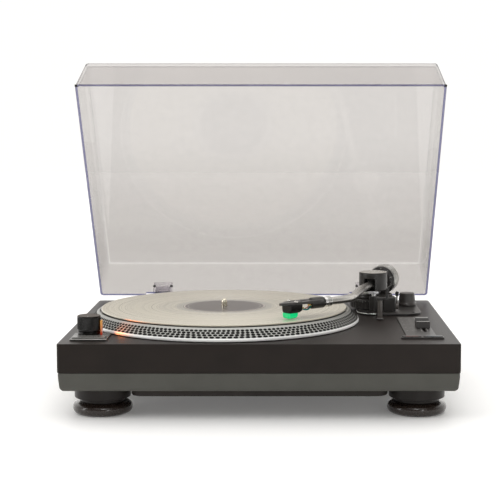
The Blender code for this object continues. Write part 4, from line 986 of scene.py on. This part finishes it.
def heading(angle):
    """Forward in the arm's frame: straight ahead is -Y and the headshell bends towards -X."""
    return Vector((-sin(radians(angle)), -cos(radians(angle)), 0))


CONNECTOR = 230 * heading(9.34) - 50 * heading(SHELL_ANGLE)
SHELL_TURN = ARM_YAW @ turned(-SHELL_ANGLE, "Z")


def on_arm(name, bm, node, looks, bevel=0):
    """Adds a piece in the arm's frame."""
    piece(name, bm, node, looks, at(*PIVOT), ARM_YAW, bevel)


def shell_place(spot=(0, 0, 0)):
    """A place in metres from one in the headshell's frame."""
    return at(*PIVOT) + (ARM_YAW @ CONNECTOR + SHELL_TURN @ Vector(spot)) * MM


def on_shell(name, bm, node, looks, spot=(0, 0, 0), rides=None):
    """Adds a piece in the headshell's frame."""
    piece(name, bm, node, looks, shell_place(spot), SHELL_TURN, rides=rides)


def bend(start, first, last, radius, steps=28):
    side = 1 if last > first else -1
    centre = start + side * radius * heading(first + 90)
    turns = [first + (last - first) * step / steps for step in range(1, steps + 1)]
    return [centre - side * radius * heading(turn + 90) for turn in turns]


def tube_path():
    origin = Vector((0, 0, 0))
    outward = bend(origin, 0, -8, 130, 10)
    inward = bend(origin, -8, SHELL_ANGLE, 62)
    left_over = CONNECTOR - outward[-1] - inward[-1] - 24 * heading(SHELL_ANGLE)
    straight = left_over.x / heading(-8).x
    first = -(left_over.y - straight * heading(-8).y)
    points = [Vector((0, -8.3, 0)), Vector((0, -first, 0))]
    points += [points[1] + step for step in outward]
    points.append(points[-1] + straight * heading(-8))
    start = points[-1]
    points += [start + step for step in inward]
    points.append(CONNECTOR - 0.4 * heading(SHELL_ANGLE))
    return points


def make_tonearm():
    drum = lathe([(0, -41.2), (4.1, -41.2), (4.1, -12.4), (9.5, -12.4), (9.5, -8.2), (17.2, -8.2),
        (18.4, -7), (18.4, 10.6), (18.1, 10.8), (18.1, 11.4), (18.4, 11.6), (18.4, 14.2), (18.2, 14.9),
        (17.6, 15.5), (16.6, 15.8), (15.4, 15.8), (15.2, 15.6), (14.6, 15.6), (14.4, 15.8), (0, 15.8)], 96)
    drum = cut(drum, box((-7.2, -30, -7.2), (7.2, 30, 8.4)), to_x(rod(1.8, -40, 40)))
    painted(drum, 1, lambda c, n: c.z > 15.4 and n.z > 0.2)
    on_arm("gimbal_drum", drum, "gimbal_housing", "arm_black cap")
    on_arm("tilt_pin", to_x(rod(1.5, -18.2, 18.2)), "tilt_axle", "steel")
    block = cut(box((-6.2, -8, -6.2), (6.2, 8, 6.2)), to_x(rod(1.8, -20, 20)))
    stub = to_y(lathe([(0, 7), (3, 7), (3, 66.7), (2.4, 67.5), (0, 67.5)], 40))
    threads = [(to_y(lathe([(2.9, n), (3, n), (3, n + 0.5), (2.9, n + 0.5)], 32)), 1)
               for n in range(44, 66)]
    on_arm("arm_yoke", joined(block, (stub, 1), *threads), "gimbal_block", "black silver", 0.3)

    points = [at(*PIVOT) + (ARM_YAW @ point) * MM for point in tube_path()]
    piece_of_curve("arm_tube", points, 4.8, "tonearm_tube", "tube")

    weight = [(3.3, 43), (17.4, 43), (18.4, 43.4), (19, 44.4)]
    for groove in range(3):
        behind = 47 + 4.4 * groove
        weight += [(19, behind), (18.5, behind + 0.3), (18.5, behind + 0.9), (19, behind + 1.2)]
    weight += [(19, 61.3), (18.6, 62.3), (17.5, 63), (13, 63), (12.6, 62.4), (3.3, 62.4)]
    on_arm("balance_weight", to_y(lathe(weight, 112)), "counterweight", "silver")

    dial = to_y(lathe([(3.3, 36.5), (9, 36.5), (13.7, 36.9), (17.2, 39.5), (17.7, 40.2), (17.7, 42.4),
        (17.5, 42.6), (3.3, 42.6)], 96))
    marks = []
    for mark in range(40):
        turn = turned(9 * mark, "Y")
        long = 1.9 if mark % 4 == 0 else 1.1
        marks.append((moved(box((-0.16, 40.3, 17.66), (0.16, 40.3 + long, 17.76)), turn=turn), 1))
        if mark % 4 == 0:
            lean = turn @ turned(53, "X")
            marks.append((moved(numeral(str(mark // 4), 3.4), turn @ Vector((0, 38, 15.35)), lean), 1))
    on_arm("force_ring", joined(dial, *marks), "force_dial", "black print")


SCREWS_X = {"cartridge_screw_left": -6.35, "cartridge_screw_right": 6.35}
LEADS = (  # look, across at the connector and at the cartridge, sag, node it stands for
    ("wire_red", -2.1, -4.5, 1, "headshell_leads"), ("wire_white", -0.7, -1.5, 1.5, ""),
    ("wire_blue", 0.7, 1.5, 1.3, ""), ("wire_green", 2.1, 4.5, 0.7, ""))


def make_headshell():
    collar = [(5.2, 0.6), (6, 0.6), (6.1, 0.8), (6.1, 4.6), (5.9, 4.8), (5.9, 5.4), (6.1, 5.6), (6.1, 9.8),
        (5.8, 11.6), (5.4, 12), (5.2, 12)]
    collar = to_y(lathe(collar, 64))
    painted(collar, 1, lambda c, n: c.y < 4.9)
    on_shell("locking_collar", collar, "headshell_collar", "silver white_ring")

    nose, half = -57, 9.4
    outline = [(half - 3, -4), (half - 1.2, -8), (half, -14), (half, nose + 10), (half - 1.2, nose + 4),
        (half - 3.5, nose), (half - 5.2, nose - 7.6), (half - 6.4, nose - 9.6), (half - 8.5, nose - 10),
        (half - 9.6, nose - 9), (-half + 6, nose), (-half + 1.8, nose + 3), (-half, nose + 8), (-half, -14),
        (-half + 1.2, -8), (-half + 3, -4)]
    plate = softened(outline, 1.5, 4.4, 0.6, 0.3)
    boss = to_y(lathe([(0, -19), (5.4, -19), (6, -18.7), (6.7, -17.4), (6.7, -0.6), (6.3, -0.2), (0, -0.2)],
        56))
    tools = [prism(circle(1.5, (x, -46), 24), 0, 8) for x in SCREWS_X.values()]
    tools += [box((x - 1.2, -43, 0), (x + 1.2, -37, 8)) for x in SCREWS_X.values()]
    tools += [prism(rounded_rect(3.4, 12, 1.6, centre=(0, -29)), 3.4, 8)]
    on_shell("headshell_body", cut(combined(plate, "UNION", boss), *tools), "headshell", "arm_black")
    for name, x in SCREWS_X.items():
        screw = lathe([(0, 1.6), (1.1, 1.6), (1.1, 4.7), (2.1, 4.7), (2.1, 5.5), (1.8, 6), (0, 6.1)], 32)
        screw = cut(screw, box((-2.4, -0.25, 5.6), (2.4, 0.25, 8)))
        on_shell(f"{name}_slotted", screw, name, "chrome", (x, -46, 0))

    body = stacked([(13.4, 15.4, 1.5, -47.8, -7.8), (14, 16, 1.5, -47.8, -7.5),
        (15.3, 18.4, 1.5, -46.8, -5.9), (15.6, 19, 1.5, -46.5, -5.3), (15.3, 18.7, 1.5, -46.5, -5.1),
        (15.3, 18.7, 1.5, -46.5, -4.8), (15.7, 19, 1.5, -46.5, -4.6), (16.4, 19, 1.5, -46.5, 0.9),
        (16, 18.6, 1.5, -46.5, 1.2)])
    pin = [(0, -37.4), (0.55, -37.4), (0.55, -34.8), (0.35, -34.4), (0, -34.4)]
    pins = [(moved(to_y(lathe(pin, 16)), (x, 0, -3.4)), 1) for x in (-4.5, -1.5, 1.5, 4.5)]
    on_shell("pickup_body", joined(body, *pins), "cartridge_body", "gloss_black gold")

    holder = stacked([(9, 9.4, 2, -50.6, -14.4), (11.6, 11.8, 2.4, -50.3, -13.9),
        (13.2, 13.4, 2.5, -49.9, -12.8), (13.7, 13.9, 2.5, -49.8, -12), (14.3, 14.6, 2.5, -49.6, -8.4),
        (14.1, 14.4, 2.4, -49.6, -8.1)])
    cantilever = moved(rod(0.35, 0, 6.2, 16), (0, -46.4, -12.9), turned(112, "X"))
    tip = lathe([(0, -15.15), (0.14, -14.9), (0.4, -14.2), (0, -14.2)], 12)
    on_shell("stylus_mount", joined(holder, (cantilever, 1), (moved(tip, (0, -50, 0)), 1)), "stylus_holder",
        "green steel")

    for look, start, stop, sag, node in LEADS:
        knots = ((start, -18.8, -1.6), (start * 1.2, -21.8, -3.6 - sag), (stop * 0.95, -26.5, -5.6 - sag),
            (stop, -31.4, -4.8 - 0.5 * sag), (stop, -35, -3.4))
        path = smooth_path([Vector(knot) for knot in knots])
        points = [shell_place(point) for point in path]
        piece_of_curve(f"lead_{look}", points, 0.55, node, look, rides="tonearm", resolution=3)
        for end, along in (("front", -1), ("back", 0)):
            sleeve = to_y(lathe([(0.5, -1.3), (0.85, -1.3), (0.85, 1.3), (0.5, 1.3)], 16))
            spot = path[along] + Vector((0, 0.6 if along else -0.9, 0))
            on_shell(f"lead_clip_{look}_{end}", sleeve, "", "gold", spot, "tonearm")


# ---------- dust cover


COVER_WIDE, COVER_DEEP, COVER_MIDDLE = 447, 345, 175
COVER_OPEN = 55              # degrees
HINGE = (354.5, 0.6)         # behind and above
HINGES_X = {"left": -139, "right": 139}


def make_cover():
    """Built closed in the hinge's frame, where Y is behind and Z above the hinge axis."""
    turn = turned(-COVER_OPEN, "X")
    rows = ((1, 2.4, 3.6, 56.9), (1, 1.1, 3.8, 56.6), (1, 0.3, 4, 55.8), (0.99, 0, 4, 54.8),
        (0, 0, 4.5, 0.3), (0, 0.4, 4.5, -0.1), (0, 2.6, 2.5, -0.1), (0, 3, 2.2, 0.3), (0.93, 3, 2, 53.2),
        (0.95, 3.6, 2, 53.9))  # share of the taper, how far in, corner radius, height
    sheet = stacked([(COVER_WIDE - 2 * (5.7 * taper + far), COVER_DEEP - 15 * taper - 2 * far, radius,
        COVER_MIDDLE - HINGE[0] - 1.5 * taper, up) for taper, far, radius, up in rows], 8)
    sheet = cut(sheet, *[box((x - 22, -16, -4), (x + 22, -4, 3.6)) for x in HINGES_X.values()])
    painted(sheet, 1, lambda c, n: c.z < 0.35 or (
        c.z < 3.7 and c.y > -12 and abs(n.y) < 0.5 and abs(c.x) < 162))
    # painted glint: the top's outer rounding and the inner chamfer read as a light line
    painted(sheet, 3, lambda c, n: (c.z > 54.9 and 0.06 < n.z < 0.999) or 53.3 < c.z < 53.8)
    # painted shade: the front wall's top rounding and upright corners get an opaque dark violet in place of
    # the clear sheet
    painted(sheet, 2, lambda c, n: c.y < -340 and (
        54.9 < c.z < 56.5 or (min(abs(n.x), abs(n.y)) > 0.5 and 0.4 < c.z < 55)))
    piece("cover_sheet", sheet, "dust_cover", "clear clear_edge cover_edge clear_fillet", at(0, *HINGE),
        turn)

    for side, x in HINGES_X.items():
        hinge = at(x, *HINGE)
        socket = box((-13, -10.2, 6.6), (13, -0.5, 24))
        pocket = box((-10.3, -5.6, 0), (10.3, -2, 20.6))
        piece(f"hinge_socket_{side}", cut(socket, pocket), "", "clear_block", hinge, turn, bevel=0.5,
            rides="lid")
        for end, along in (("inner", -11.6), ("outer", 11.6)):
            spot = hinge + turn @ Vector((along, -10.3, 15.5)) * MM
            screw = lathe([(0, -0.4), (2, -0.4), (2, 0.5), (1.6, 1.1), (0.6, 1.3), (0, 1.3)], 28)
            screw = cut(screw, box((-1.3, -0.25, 0.8), (1.3, 0.25, 3)))
            facing = turn @ turned(90, "X")
            piece(f"hinge_screw_{side}_{end}", screw, "", "black", spot, facing, rides="lid")
        ribs = [(box((along - 0.6, -5.6, 2), (along + 0.6, -2.6, 11)), 1)
                for along in (-9.1, -5.8, 5.9, 9.1)]
        leaf = side_prism([(-5.3, 0.6), (-5.3, 19.4), (-4.7, 20), (-2.9, 20), (-2.3, 19.4), (-2.3, 0.6)],
            -10, 10)
        barrel = to_x(lathe([(0, -13.5), (1.7, -13.5), (1.7, -10), (4, -10), (4, 10), (1.7, 10),
            (1.7, 13.5), (0, 13.5)], 40))
        piece(f"hinge_leaf_{side}", joined(leaf, barrel, *ribs), f"hinge_tongue_{side}",
            "clear_block black", hinge, turn)
        make_bracket(side, x)
        pad = softened(rounded_rect(3.4, 3.4, 0.8), -0.45, 0, 0.12, 0.1)
        spot = at(0, *HINGE) + turn @ Vector((221.9 if x > 0 else -221.9, -350.4, -0.05)) * MM
        piece(f"cover_bumper_{side}", pad, "", "rubber", spot, turn, rides="lid")


def make_bracket(side, x):
    """Fixed to the back of the plinth; its two ears carry the pins of the tongue."""
    back, reach, ear = -4.2, 13.5, 3.2
    leaf = moved(prism(rounded_rect(27, 26, 2), back, back + 3), (0, 0, -19), turned(90, "X"))
    moved(leaf, (0, 2 * back + 3, 0))
    parts = [leaf]
    for low in (-reach, reach - ear):
        parts.append(moved(to_x(rod(4.2, 0, ear, 40)), (low, 0, 0)))
        parts.append(box((low, back, -12), (low + ear, 4, 0)))
    bracket = cut(combined(parts[0], "UNION", *parts[1:]), to_x(rod(2, -20, 20)))
    piece(f"hinge_mount_{side}", bracket, f"hinge_bracket_{side}", "arm_black", at(x, *HINGE))
    for number, across in enumerate((-7, 7)):
        screw_head(f"hinge_mount_screw_{side}_{number}", at(x + across, 353.9, -22), BACK, 2.6, "zinc")


# ---------- back and inside


KEPT = {"base": "rear_panel", "jack_white": "output_jack_left", "jack_red": "output_jack_right",
    "steel": "ground_post", "black": "mains_inlet", "board": "main_board",
    "zinc": "power_transformer pitch_potentiometer", "casting": "motor_frame", "copper": "motor_stator",
    "brass": "spindle_bearing", "magnet": "rotor_magnet"}


def make_back_and_inside():
    """CAD nodes that stay visible get a procedural material."""
    for look, nodes in KEPT.items():
        for node in nodes.split():
            mesh = frame["nodes"][node].data
            mesh.materials.clear()
            mesh.materials.append(LOOKS[look])
    for number, x in enumerate((-106, 14)):
        screw_head(f"rear_panel_screw_{number}", at(x, 347, -17), BACK, 2.2, "zinc")


make_looks()
make_camera()
make_world()
SCENE.view_settings.view_transform = "Standard"
make_floor()
make_light("ceiling", at(0, 100, 2300), at(0, 150, 0), (3.2, 3.2), 42)
make_light("left_strip", at(-1900, -500, 700), at(-100, 150, 0), (0.35, 1.6), 9)
make_light("front_strip", at(850, -1900, 420), at(0, 100, -40), (0.22, 1.1), 5)
make_light("high_front", at(60, -1350, 1500), at(0, 100, -40), (0.5, 0.4), 4.5)
glow = make_light("strobe_glow", at(-179.5, 51.5, 13), at(-152, 58, 10), (0.004, 0.006), 0.0042,
    (1, 0.22, 0.03))
glow.data.spread = radians(70)
make_plinth()
make_feet()
make_platter()
make_left_controls()
make_right_controls()
make_arm_base()
make_arm_rest()
make_tonearm()
make_headshell()
make_cover()
make_back_and_inside()
